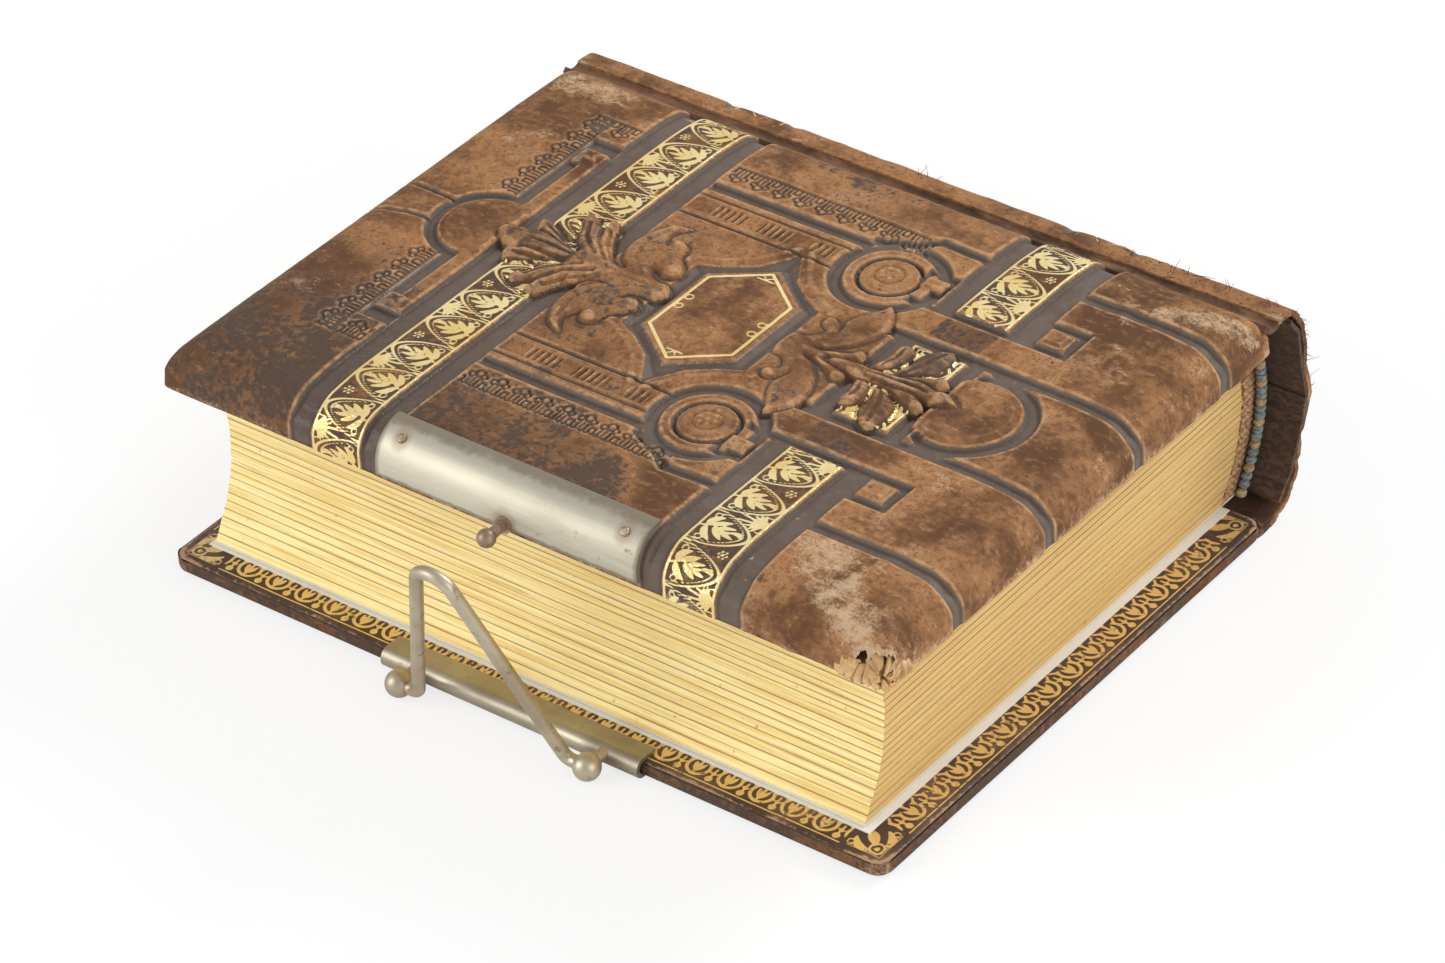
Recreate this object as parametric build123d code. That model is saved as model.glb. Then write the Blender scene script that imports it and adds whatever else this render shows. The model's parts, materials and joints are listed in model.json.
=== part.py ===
"""Clasped leather prayer book: two covers, a two-panel spine, 25 hinged leaves and a wire clasp.

Frame: X runs along the fore edge, -Y is the fore edge and +Y the spine, Z is up.
The book lies closed on its back cover, and the origin is the centre of that cover's underside.
All sizes are in millimetres.
"""
import os
from math import atan2, cos, hypot, radians, sin

from build123d import *

# ---------------------------------------------------------------- covers
board_length = 150.0        # both covers, along X
board_width = 112.0         # both covers, along Y
front_set_back = 2.0        # the front cover lies this much nearer the spine
back_corner_radius = 3.0    # plan corners of the back cover
front_corner_radius = 6.5   # plan corners of the padded front cover
front_top_radius = 6.0      # rounding of the padded cover's upper rim
rim_fillet = 0.7            # small rounding of the leather along the other rims

back_leather_t = 0.7        # leather under the back board
back_board_t = 1.8          # back board
turn_in_t = 0.5             # leather folded over the inside of a board
turn_in_width = 12.0        # how far that fold reaches in from the rim
front_leather_t = 1.1       # leather over the padding
front_board_t = 2.5         # front board
front_padding_t = 4.9       # padding between the front board and its leather
padding_wall_share = 0.99   # most of the padding's height that its rounding takes
endpaper_t = 0.25           # pastedowns and flyleaves
pastedown_overlap = 0.7     # the back pastedown shows this much past the leaves' fore edge
pastedown_tail_overlap = 1.5  # the same at +X

# ---------------------------------------------------------------- leaves
leaf_count = 25
leaf_pitch = 1.32           # from one leaf to the next
leaf_gap = 0.12             # air between two closed leaves
fore_square = 6.5           # the lowest leaf's fore edge lies this far behind the cover's
guard_width = 4.5           # linen guard strip along the spine side of each leaf
head_square = 4.4           # the cover stands this far past the leaves at -X
tail_square = 8.2           # the same at +X
back_overhang = 3.5         # the lowest leaf reaches this far past the board on the spine side
block_lean = 2.5            # the closed block leans towards the spine by this much
block_round = 5.0           # rounding of the block's back
endpaper_gap = 0.1          # air between a pastedown and its flyleaf
lining_t = 0.3              # linen glued over the back of the block
lining_gap = 0.15           # air between the lining and the leaves' guards
band_radius = 1.0           # head and tail band cords
band_gap = 0.15             # air between a band and the ends of the leaves
band_sink = 0.4             # share of a band's radius that lies in front of the block's back

# ---------------------------------------------------------------- spine
joint_width = 2.8           # leather between the back board and the hinge line
front_joint_width = 2.0     # the same on the front cover
joint_leather_t = 1.2       # thickness of both
spine_leather_t = 1.2
spine_liner_t = 0.8
spine_end_gap = 0.5         # the spine stops short of the covers' ends
hinge_slit = 0.15           # half the slit at each leather hinge
front_hinge_drop = 4.45     # the front hinge line lies this far under the padded crown
# each outline point: share of the spine's height, distance past the block's back
spine_low_outline = ((0.067, 3.4), (0.165, 4.6), (0.354, 4.5))
spine_crease = (0.510, 5.3)
spine_high_outline = ((0.684, 4.3), (0.883, 6.0), (0.983, 5.3))

# ---------------------------------------------------------------- clasp
plate_length = 54.0         # both clasp plates, along X
plate_t = 0.8
catch_plate_flat = 0.3      # flat strip of the upper plate on the crown
catch_plate_skirt = 1.65    # straight part of the upper plate below the rounding
clasp_flange = 3.3          # flat flanges of the lower plate, from their edge to the bend
clasp_plate_set_in = 0.2    # its bend starts this far behind the cover's fore edge
rivet_inset = 4.0           # rivet centre from the plate's end
rivet_angle = 37.0          # place of the rivets round the rim, from straight up
rivet_head_r = 0.85
rivet_head_h = 0.5
rivet_shank_r = 0.5
rivet_shank_length = 4.5
rivet_air = 0.06            # air under a rivet's head
stud_drop = 0.85            # stud axis below the start of the plate's skirt
stud_neck_r = 1.0
stud_neck_length = 2.9
stud_ball_r = 1.65
stud_collar_r = 1.6
stud_collar_t = 0.4
wire_r = 1.2
wire_fit = 0.05             # radial clearance of the wire in its lugs
wire_pass = 0.4             # the loop clears the stud's ball by this much
wire_end_gap = 0.25         # between the wire's end and the bottom of its hole
foot_gap = 0.55             # air between the loop's foot and its lug ball
bail_apex_r = 4.0           # centre-line radius of the loop's top
bail_foot_r = 1.8           # centre-line radius of the bends at its feet
bail_lean = 17.5            # the resting loop leans out by this angle from straight up
lug_ball_r = 2.45
lug_spread = 19.8           # lug ball centres from the middle
lug_stem = 1.35             # bare post between the lower plate and the ball
lug_table_gap = 0.15        # air under the lug balls
lug_post_r = 1.1
lug_hole_past = 1.25        # the hole runs this far past the ball's centre

# ---------------------------------------------------------------- worked out
back_cover_t = back_leather_t + back_board_t + turn_in_t
pastedown_top = back_cover_t + endpaper_t
block_bottom = pastedown_top + endpaper_gap + endpaper_t
block_thickness = leaf_count * leaf_pitch
block_top = block_bottom + block_thickness
front_pastedown_z = block_top + endpaper_t + endpaper_gap
front_under = front_pastedown_z + endpaper_t
front_board_z = front_under + turn_in_t
padding_z = front_board_z + front_board_t
front_crown = padding_z + front_padding_t + front_leather_t
front_fore_y = front_set_back - board_width / 2
front_spine_y = front_set_back + board_width / 2
leaf_width = board_width + back_overhang - fore_square
back_edge_y = board_width / 2 + back_overhang
head_x = head_square - board_length / 2
tail_x = board_length / 2 - tail_square
spine_half = board_length / 2 - spine_end_gap

back_hinge = (board_width / 2 + joint_width, 0.0)
front_hinge = (front_spine_y + front_joint_width, front_crown - front_hinge_drop)

rim_centre = (front_fore_y + front_top_radius, front_crown - front_top_radius)
catch_face_y = front_fore_y - plate_t
stud_z = rim_centre[1] - stud_drop
stud_ball_y = catch_face_y - stud_neck_length - stud_ball_r

clasp_plate_h = back_cover_t + plate_t
clasp_bend_r = clasp_plate_h / 2
clasp_bend_y = clasp_plate_set_in - board_width / 2
clasp_front_y = clasp_bend_y - clasp_bend_r
lug_lift = lug_ball_r + lug_table_gap
bail_axis = (clasp_front_y - lug_stem - lug_ball_r, lug_lift)
bail_half_width = lug_spread - lug_ball_r - wire_r - foot_gap
stud_reach = hypot(stud_ball_y - bail_axis[0], stud_z - bail_axis[1]) + stud_ball_r
bail_length = stud_reach + wire_pass + wire_r


def block_back_y(z):
    """Y of the text block's back at height z: leaning and rounded."""
    share = (z - block_bottom) / block_thickness
    return back_edge_y + block_lean * share + 4 * block_round * share * (1 - share)


def spine_point(share, past):
    """A point of the spine's outer outline."""
    z = share * front_hinge[1]
    return (block_back_y(z) + past, z)


crease = spine_point(*spine_crease)


def prism(outline, x_start, x_end):
    """Extrude a closed YZ outline along X."""
    face = Plane.YZ.offset(x_start) * make_face(Polyline(*outline, close=True))
    return extrude(face, amount=x_end - x_start, dir=(1, 0, 0))


def slab(length, width, y_centre, z_low, z_high):
    """A plain block centred on X."""
    height = z_high - z_low
    return Pos(0, y_centre, z_low + height / 2) * Box(length, width, height)


def rounded_slab(length, width, y_centre, z_low, z_high, corner, top, bottom):
    """A block with rounded plan corners and rounded upper and lower rims."""
    body = slab(length, width, y_centre, z_low, z_high)
    body = fillet(body.edges().filter_by(Axis.Z), corner)
    if top:
        body = fillet(body.faces().sort_by(Axis.Z)[-1].edges(), top)
    if bottom:
        body = fillet(body.faces().sort_by(Axis.Z)[0].edges(), bottom)
    return body


# ---------------------------------------------------------------- back cover
def make_clasp_plate():
    """Sheet folded round the back cover's fore edge."""
    flange_y = clasp_bend_y + clasp_flange
    inner_r = clasp_bend_r - plate_t
    mid = clasp_bend_r
    top = clasp_plate_h
    section = make_face(
        Line((flange_y, top), (clasp_bend_y, top))
        + ThreePointArc((clasp_bend_y, top), (clasp_bend_y - clasp_bend_r, mid), (clasp_bend_y, 0))
        + Line((clasp_bend_y, 0), (flange_y, 0))
        + Line((flange_y, 0), (flange_y, plate_t))
        + Line((flange_y, plate_t), (clasp_bend_y, plate_t))
        + ThreePointArc((clasp_bend_y, plate_t), (clasp_bend_y - inner_r, mid),
                        (clasp_bend_y, top - plate_t))
        + Line((clasp_bend_y, top - plate_t), (flange_y, top - plate_t))
        + Line((flange_y, top - plate_t), (flange_y, top))
    )
    face = Plane.YZ.offset(-plate_length / 2) * section
    plate = extrude(face, amount=plate_length, dir=(1, 0, 0))
    for side in (-1, 1):
        plate -= make_lug_post(side)
    return plate


def make_lug_post(side):
    """Stub that carries a lug ball and is riveted through the lower plate."""
    y_start = clasp_front_y + plate_t
    length = y_start - bail_axis[0]
    middle = Pos(side * lug_spread, y_start - length / 2, lug_lift)
    return middle * Rot(90, 0, 0) * Cylinder(lug_post_r, length)


def make_right_lug():
    """Ball lug with the blind hole that the wire's right end turns in."""
    lug = Pos(lug_spread, bail_axis[0], lug_lift) * Sphere(lug_ball_r)
    lug += make_lug_post(1)
    hole_length = 2 * lug_ball_r + lug_hole_past
    hole_x = lug_spread + lug_hole_past - hole_length / 2
    hole = Rot(0, 90, 0) * Cylinder(wire_r + wire_fit, hole_length)
    lug -= Pos(hole_x, bail_axis[0], lug_lift) * hole
    return lug


def make_back_board():
    """Board inside the back cover's leather."""
    inset = 2 * back_leather_t
    corner = back_corner_radius - back_leather_t
    z_low = back_leather_t
    return rounded_slab(board_length - inset, board_width - inset, 0,
                        z_low, z_low + back_board_t, corner, 0, 0)


def make_infill(y_centre, z_low):
    """Card that levels the field between the turned-in leather edges."""
    trim = 2 * turn_in_width
    return slab(board_length - trim, board_width - trim, y_centre,
                z_low, z_low + turn_in_t)


def make_back_leather(board, infill, plate):
    """Leather round the back board, turned in on the inside and running on to the hinge."""
    skin = rounded_slab(board_length, board_width, 0, 0, back_cover_t,
                        back_corner_radius, rim_fillet, rim_fillet)
    joint_start = board_width / 2 - back_corner_radius
    joint_end = back_hinge[0] - hinge_slit
    skin += slab(2 * spine_half, joint_end - joint_start, (joint_start + joint_end) / 2,
                 0, joint_leather_t)
    return skin - board - infill - plate


def make_back_pastedown():
    """White paper glued over the inside of the back cover."""
    y_low = block_back_y(block_bottom) - leaf_width - pastedown_overlap
    y_high = board_width / 2 - rim_fillet
    x_low = head_x - pastedown_overlap
    x_high = tail_x + pastedown_tail_overlap
    sheet = Box(x_high - x_low, y_high - y_low, endpaper_t)
    return Pos((x_low + x_high) / 2, (y_low + y_high) / 2, back_cover_t + endpaper_t / 2) * sheet


# ---------------------------------------------------------------- front cover
def make_front_board():
    """Board of the padded front cover."""
    inset = 2 * front_leather_t
    corner = front_corner_radius - front_leather_t
    return rounded_slab(board_length - inset, board_width - inset, front_set_back,
                        front_board_z, padding_z, corner, 0, 0)


def make_front_padding():
    """Wadding over the front board, rounded along its rim."""
    inset = 2 * front_leather_t
    corner = front_corner_radius - front_leather_t
    top = min(front_top_radius - front_leather_t, padding_wall_share * front_padding_t)
    return rounded_slab(board_length - inset, board_width - inset, front_set_back,
                        padding_z, padding_z + front_padding_t, corner, top, 0)


def make_front_leather(board, padding, infill):
    """Leather over the padding, turned in on the inside and running on to the hinge."""
    skin = rounded_slab(board_length, board_width, front_set_back, front_under, front_crown,
                        front_corner_radius, front_top_radius, rim_fillet)
    joint_start = front_spine_y - front_corner_radius
    joint_end = front_hinge[0] - hinge_slit
    joint_z = front_hinge[1]
    skin += slab(2 * spine_half, joint_end - joint_start, (joint_start + joint_end) / 2,
                 joint_z - joint_leather_t, joint_z)
    return skin - board - padding - infill


def make_front_pastedown():
    """Paper glued over the inside of the front cover."""
    margin = turn_in_width / 2
    return slab(board_length - 2 * margin, board_width - 2 * margin, front_set_back,
                front_pastedown_z, front_under)


def make_catch_plate():
    """Sheet bent over the front cover's fore edge."""
    y_mid, z_mid = rim_centre
    inner_r = front_top_radius
    outer_r = inner_r + plate_t
    flat_y = y_mid + catch_plate_flat
    skirt_z = z_mid - catch_plate_skirt
    turn = sin(radians(45))
    section = make_face(
        Line((flat_y, z_mid + outer_r), (y_mid, z_mid + outer_r))
        + ThreePointArc((y_mid, z_mid + outer_r), (y_mid - outer_r * turn, z_mid + outer_r * turn),
                        (y_mid - outer_r, z_mid))
        + Line((y_mid - outer_r, z_mid), (y_mid - outer_r, skirt_z))
        + Line((y_mid - outer_r, skirt_z), (y_mid - inner_r, skirt_z))
        + Line((y_mid - inner_r, skirt_z), (y_mid - inner_r, z_mid))
        + ThreePointArc((y_mid - inner_r, z_mid), (y_mid - inner_r * turn, z_mid + inner_r * turn),
                        (y_mid, z_mid + inner_r))
        + Line((y_mid, z_mid + inner_r), (flat_y, z_mid + inner_r))
        + Line((flat_y, z_mid + inner_r), (flat_y, z_mid + outer_r))
    )
    face = Plane.YZ.offset(-plate_length / 2) * section
    return extrude(face, amount=plate_length, dir=(1, 0, 0))


def rivet_plane(side):
    """Plane of a rivet's seat on the upper plate, facing outwards."""
    angle = radians(rivet_angle)
    outer_r = front_top_radius + plate_t
    y = rim_centre[0] - outer_r * sin(angle)
    z = rim_centre[1] + outer_r * cos(angle)
    x = side * (plate_length / 2 - rivet_inset)
    return Plane(origin=(x, y, z), x_dir=(1, 0, 0), z_dir=(0, -sin(angle), cos(angle)))


def make_rivet(side):
    """Round-headed rivet through the upper plate into the cover."""
    head = Pos(0, 0, rivet_air + rivet_head_h / 2) * Cylinder(rivet_head_r, rivet_head_h)
    head = fillet(head.edges().sort_by(Axis.Z)[-1], 0.8 * rivet_head_h)
    shank = Pos(0, 0, rivet_air - rivet_shank_length / 2) * Cylinder(rivet_shank_r, rivet_shank_length)
    return rivet_plane(side) * (head + shank)


def make_stud():
    """Catch knob on the upper plate: collar, neck and ball."""
    collar = Cylinder(stud_collar_r, stud_collar_t, align=(Align.CENTER, Align.CENTER, Align.MIN))
    neck_length = stud_neck_length + 0.5 * stud_ball_r
    neck = Cylinder(stud_neck_r, neck_length, align=(Align.CENTER, Align.CENTER, Align.MIN))
    ball = Pos(0, 0, stud_neck_length + stud_ball_r) * Sphere(stud_ball_r)
    outwards = Plane(origin=(0, catch_face_y, stud_z), x_dir=(1, 0, 0), z_dir=(0, -1, 0))
    return outwards * (collar + neck + ball)


# ---------------------------------------------------------------- clasp wire
def apex_corner(reach):
    """Height at which the two straight legs would meet, for a rounded top at this reach."""
    corner = reach
    for _ in range(30):
        half_angle = atan2(bail_half_width, corner)
        corner = reach + bail_apex_r * (1 / sin(half_angle) - 1)
    return corner


def make_bail():
    """Wire loop that swings on its two outward-bent ends."""
    lean = radians(bail_lean)
    loop_plane = Plane(origin=(0, *bail_axis), x_dir=(1, 0, 0), z_dir=(0, -cos(lean), -sin(lean)))
    end = lug_spread + lug_hole_past - wire_end_gap
    corner = apex_corner(bail_length)
    route = FilletPolyline(
        (-end, 0), (-bail_half_width, 0), (0, corner), (bail_half_width, 0), (end, 0),
        radius=[bail_foot_r, bail_apex_r, bail_foot_r],
    )
    path = loop_plane * route
    section = Plane(origin=path @ 0, z_dir=path % 0) * Circle(wire_r)
    return sweep(section, path=path)


# ---------------------------------------------------------------- spine
def offset_inwards(outline, depth):
    """The outline moved towards the text block by depth."""
    moved = []
    last = len(outline) - 1
    for i, (y, z) in enumerate(outline):
        before = outline[max(i - 1, 0)]
        after = outline[min(i + 1, last)]
        normals = []
        for start, stop in ((before, (y, z)), ((y, z), after)):
            run = hypot(stop[0] - start[0], stop[1] - start[1])
            if run:
                normals.append((-(stop[1] - start[1]) / run, (stop[0] - start[0]) / run))
        mean_y = sum(n[0] for n in normals) / len(normals)
        mean_z = sum(n[1] for n in normals) / len(normals)
        scale = depth / (mean_y ** 2 + mean_z ** 2)
        moved.append((y + scale * mean_y, z + scale * mean_z))
    return moved


def spine_outlines():
    """Outer outlines of the lower and the upper spine panel, from hinge to crease to hinge."""
    low = [back_hinge] + [spine_point(*p) for p in spine_low_outline] + [crease]
    high = [crease] + [spine_point(*p) for p in spine_high_outline] + [front_hinge]
    return low, high


def make_leather_panel(outline):
    """Leather of a spine panel, under its outer outline."""
    inside = offset_inwards(outline, spine_leather_t)
    return prism(list(outline) + inside[::-1], -spine_half, spine_half)


def make_liner_panel(outline, first, last):
    """Stiff liner inside a spine panel, between two of its outline points."""
    near = offset_inwards(outline, spine_leather_t)[first:last]
    far = offset_inwards(outline, spine_leather_t + spine_liner_t)[first:last]
    return prism(near + far[::-1], -spine_half, spine_half)


def trim_low(panel):
    """Cut a lower panel square at the back hinge and level at the crease."""
    reach = board_width
    block = Box(2 * board_length, reach, reach)
    hinge_side = Pos(0, back_hinge[0] + hinge_slit - reach / 2, 0) * block
    above = Pos(0, crease[0], crease[1] - hinge_slit + reach / 2) * block
    return panel - hinge_side - above


def trim_high(panel):
    """Cut an upper panel level at the crease and square at the front hinge."""
    reach = board_width
    block = Box(2 * board_length, reach, reach)
    hinge_side = Pos(0, front_hinge[0] + hinge_slit - reach / 2, front_hinge[1]) * block
    below = Pos(0, crease[0], crease[1] + hinge_slit - reach / 2) * block
    return panel - hinge_side - below


# ---------------------------------------------------------------- text block
def make_leaf(index):
    """One stiff leaf and its linen guard, as two solids."""
    low = block_bottom + index * leaf_pitch + leaf_gap / 2
    high = low + leaf_pitch - leaf_gap
    back_low, back_high = block_back_y(low), block_back_y(high)
    fore_low, fore_high = back_low - leaf_width, back_high - leaf_width
    seam_low, seam_high = back_low - guard_width, back_high - guard_width
    leaf_outline = [(fore_low, low), (seam_low, low), (seam_high, high), (fore_high, high)]
    guard_outline = [(seam_low, low), (back_low, low), (back_high, high), (seam_high, high)]
    leaf = prism(leaf_outline, head_x, tail_x)
    guard = prism(guard_outline, head_x, tail_x)
    return Compound(children=[leaf, guard])


def make_flyleaf(z_low, z_high, y_back):
    """Endpaper sheet glued to an outer leaf."""
    y_fore = y_back - leaf_width
    outline = [(y_fore, z_low), (y_back, z_low), (y_back, z_high), (y_fore, z_high)]
    return prism(outline, head_x, tail_x)


def make_lining():
    """Linen glued over the back of the text block."""
    levels = [block_bottom + i * leaf_pitch for i in range(leaf_count + 1)]
    near = [(block_back_y(z) + lining_gap, z) for z in levels]
    far = [(y + lining_t, z) for y, z in near]
    return prism(near + far[::-1], head_x, tail_x)


def make_band(x_mid):
    """Cord across the end of the text block's back."""
    low = block_bottom + band_radius
    high = block_top - band_radius
    mid = (low + high) / 2
    sunk = band_sink * band_radius
    start, middle, stop = [(x_mid, block_back_y(z) - sunk, z) for z in (low, mid, high)]
    path = ThreePointArc(start, middle, stop)
    section = Plane(origin=path @ 0, z_dir=path % 0) * Circle(band_radius)
    return sweep(section, path=path)


def build_nodes():
    """Every node of the book by name."""
    nodes = {}
    plate = make_clasp_plate()
    posts = make_lug_post(-1) + make_lug_post(1)
    board = make_back_board() - plate - posts
    infill = make_infill(0, back_leather_t + back_board_t)
    nodes["back_board"] = board
    nodes["back_infill"] = infill
    nodes["back_leather"] = make_back_leather(make_back_board(), infill, plate) - posts
    nodes["back_pastedown"] = make_back_pastedown()
    nodes["clasp_plate"] = plate
    nodes["clasp_lug_right"] = make_right_lug()
    nodes["clasp_lug_left"] = mirror(nodes["clasp_lug_right"], about=Plane.YZ)
    nodes["clasp_bail"] = make_bail()

    rivets = [make_rivet(side) for side in (-1, 1)]
    front_board = make_front_board()
    padding = make_front_padding()
    front_infill = make_infill(front_set_back, front_under)
    front_leather = make_front_leather(front_board, padding, front_infill)
    catch_plate = make_catch_plate()
    for rivet in rivets:
        catch_plate -= rivet
        front_leather -= rivet
        padding -= rivet
        front_board -= rivet
    nodes["front_board"] = front_board
    nodes["front_padding"] = padding
    nodes["front_infill"] = front_infill
    nodes["front_leather"] = front_leather
    nodes["front_pastedown"] = make_front_pastedown()
    nodes["catch_plate"] = catch_plate
    nodes["catch_rivets"] = Compound(children=rivets)
    nodes["catch_stud"] = make_stud()

    low, high = spine_outlines()
    nodes["spine_leather_lower"] = trim_low(make_leather_panel(low))
    nodes["spine_leather_upper"] = trim_high(make_leather_panel(high))
    nodes["spine_liner_lower"] = trim_low(make_liner_panel(low, 1, len(low)))
    nodes["spine_liner_upper"] = trim_high(make_liner_panel(high, 0, len(high) - 1))

    for index in range(leaf_count):
        nodes[f"leaf_{index + 1:02d}"] = make_leaf(index)
    first_under = block_bottom + leaf_gap / 2
    last_top = block_top - leaf_gap / 2
    first_back = block_back_y(first_under)
    nodes["back_flyleaf"] = make_flyleaf(first_under - endpaper_t, first_under, first_back)
    nodes["front_flyleaf"] = make_flyleaf(last_top, last_top + endpaper_t, block_back_y(last_top))
    nodes["back_lining"] = make_lining()
    nodes["head_band"] = make_band(head_x - band_gap - band_radius)
    nodes["tail_band"] = make_band(tail_x + band_gap + band_radius)
    return nodes


def main():
    """Build the book and write one STEP file per node."""
    os.makedirs("parts", exist_ok=True)
    for name, solid in build_nodes().items():
        export_step(solid, f"parts/{name}.step")


if __name__ == "__main__":
    main()
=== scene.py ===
"""Looks of the clasped leather prayer book: embossed and gilt cover, gilt leaves, spine and clasp.

Every length in the dataclasses is in millimetres and is turned to metres when a mesh is placed.
X runs along the fore edge, -Y is the fore edge, +Y the spine and Z is up.
"""

import json
import logging
import math
from dataclasses import dataclass, field
from enum import Enum
from typing import Callable, Dict, List, Optional, Sequence, Tuple, Union

import bpy
import numpy as np
from mathutils import Matrix, Vector

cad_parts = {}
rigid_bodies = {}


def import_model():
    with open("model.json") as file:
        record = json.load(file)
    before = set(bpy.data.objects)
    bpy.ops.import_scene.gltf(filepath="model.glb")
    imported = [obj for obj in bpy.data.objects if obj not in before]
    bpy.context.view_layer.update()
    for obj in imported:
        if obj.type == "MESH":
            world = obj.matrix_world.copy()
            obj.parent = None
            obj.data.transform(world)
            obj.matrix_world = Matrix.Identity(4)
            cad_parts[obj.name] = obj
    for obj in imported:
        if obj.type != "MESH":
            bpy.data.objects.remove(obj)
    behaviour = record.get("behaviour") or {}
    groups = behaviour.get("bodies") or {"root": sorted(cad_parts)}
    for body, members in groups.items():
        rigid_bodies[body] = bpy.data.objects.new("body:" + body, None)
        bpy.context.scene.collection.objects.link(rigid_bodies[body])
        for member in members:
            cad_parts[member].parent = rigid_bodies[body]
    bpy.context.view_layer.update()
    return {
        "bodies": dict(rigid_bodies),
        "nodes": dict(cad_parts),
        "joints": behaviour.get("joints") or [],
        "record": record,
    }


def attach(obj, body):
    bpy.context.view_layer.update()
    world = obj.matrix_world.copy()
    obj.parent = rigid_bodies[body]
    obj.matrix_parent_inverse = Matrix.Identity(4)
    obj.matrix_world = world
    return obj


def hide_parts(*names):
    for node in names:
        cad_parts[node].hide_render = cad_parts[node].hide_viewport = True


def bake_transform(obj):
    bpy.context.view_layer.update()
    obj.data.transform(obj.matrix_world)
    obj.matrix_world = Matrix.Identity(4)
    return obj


MM = 0.001
Colour = Tuple[float, float, float]
Point2 = Tuple[float, float]
Array = np.ndarray
Piece = bpy.types.Object
Material = bpy.types.Material
Operand = Union["Value", float]
log = logging.getLogger("prayer_book")


# ---------------------------------------------------------------- shader values
class Value:
    """A shader socket that takes part in sums."""

    def __init__(self, maker: "MaterialMaker", socket: bpy.types.NodeSocket) -> None:
        """Keep the socket and the material it belongs to."""
        self.maker = maker
        self.socket = socket

    def _with(self, operation: str, *others: Operand, first: bool = True) -> "Value":
        """Join this value and others through one Math node.

        Args:
            operation: the Math node's operation.
            others: further values or numbers.
            first: whether this value is the first input.

        Returns:
            The result as a new value.
        """
        inputs: Dict[Union[int, str], object] = {}
        order = [self, *others] if first else [*others, self]
        for index, item in enumerate(order):
            inputs[index] = item
        return self.maker.node("ShaderNodeMath", {"operation": operation}, inputs)

    def __add__(self, other: Operand) -> "Value":
        """Sum."""
        return self._with("ADD", other)

    __radd__ = __add__

    def __sub__(self, other: Operand) -> "Value":
        """Difference."""
        return self._with("SUBTRACT", other)

    def __rsub__(self, other: float) -> "Value":
        """Difference with a number in front."""
        return self._with("SUBTRACT", other, first=False)

    def __mul__(self, other: Operand) -> "Value":
        """Product."""
        return self._with("MULTIPLY", other)

    __rmul__ = __mul__

    def __truediv__(self, other: Operand) -> "Value":
        """Quotient."""
        return self._with("DIVIDE", other)

    def most(self, other: Operand) -> "Value":
        """The larger of two values."""
        return self._with("MAXIMUM", other)

    def least(self, other: Operand) -> "Value":
        """The smaller of two values."""
        return self._with("MINIMUM", other)

    def fraction(self) -> "Value":
        """What is left over the whole number below."""
        return self._with("FRACT")

    def size(self) -> "Value":
        """The value without its sign."""
        return self._with("ABSOLUTE")

    def ramp(self, low: float, high: float) -> "Value":
        """0 below low, 1 above high and smooth between.

        Args:
            low: where the rise starts.
            high: where it ends; below low for a fall.

        Returns:
            The smoothed step.
        """
        return self.maker.node(
            "ShaderNodeMapRange",
            {"interpolation_type": "SMOOTHSTEP"},
            {"Value": self, "From Min": low, "From Max": high, "To Min": 0.0, "To Max": 1.0},
        )


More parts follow.
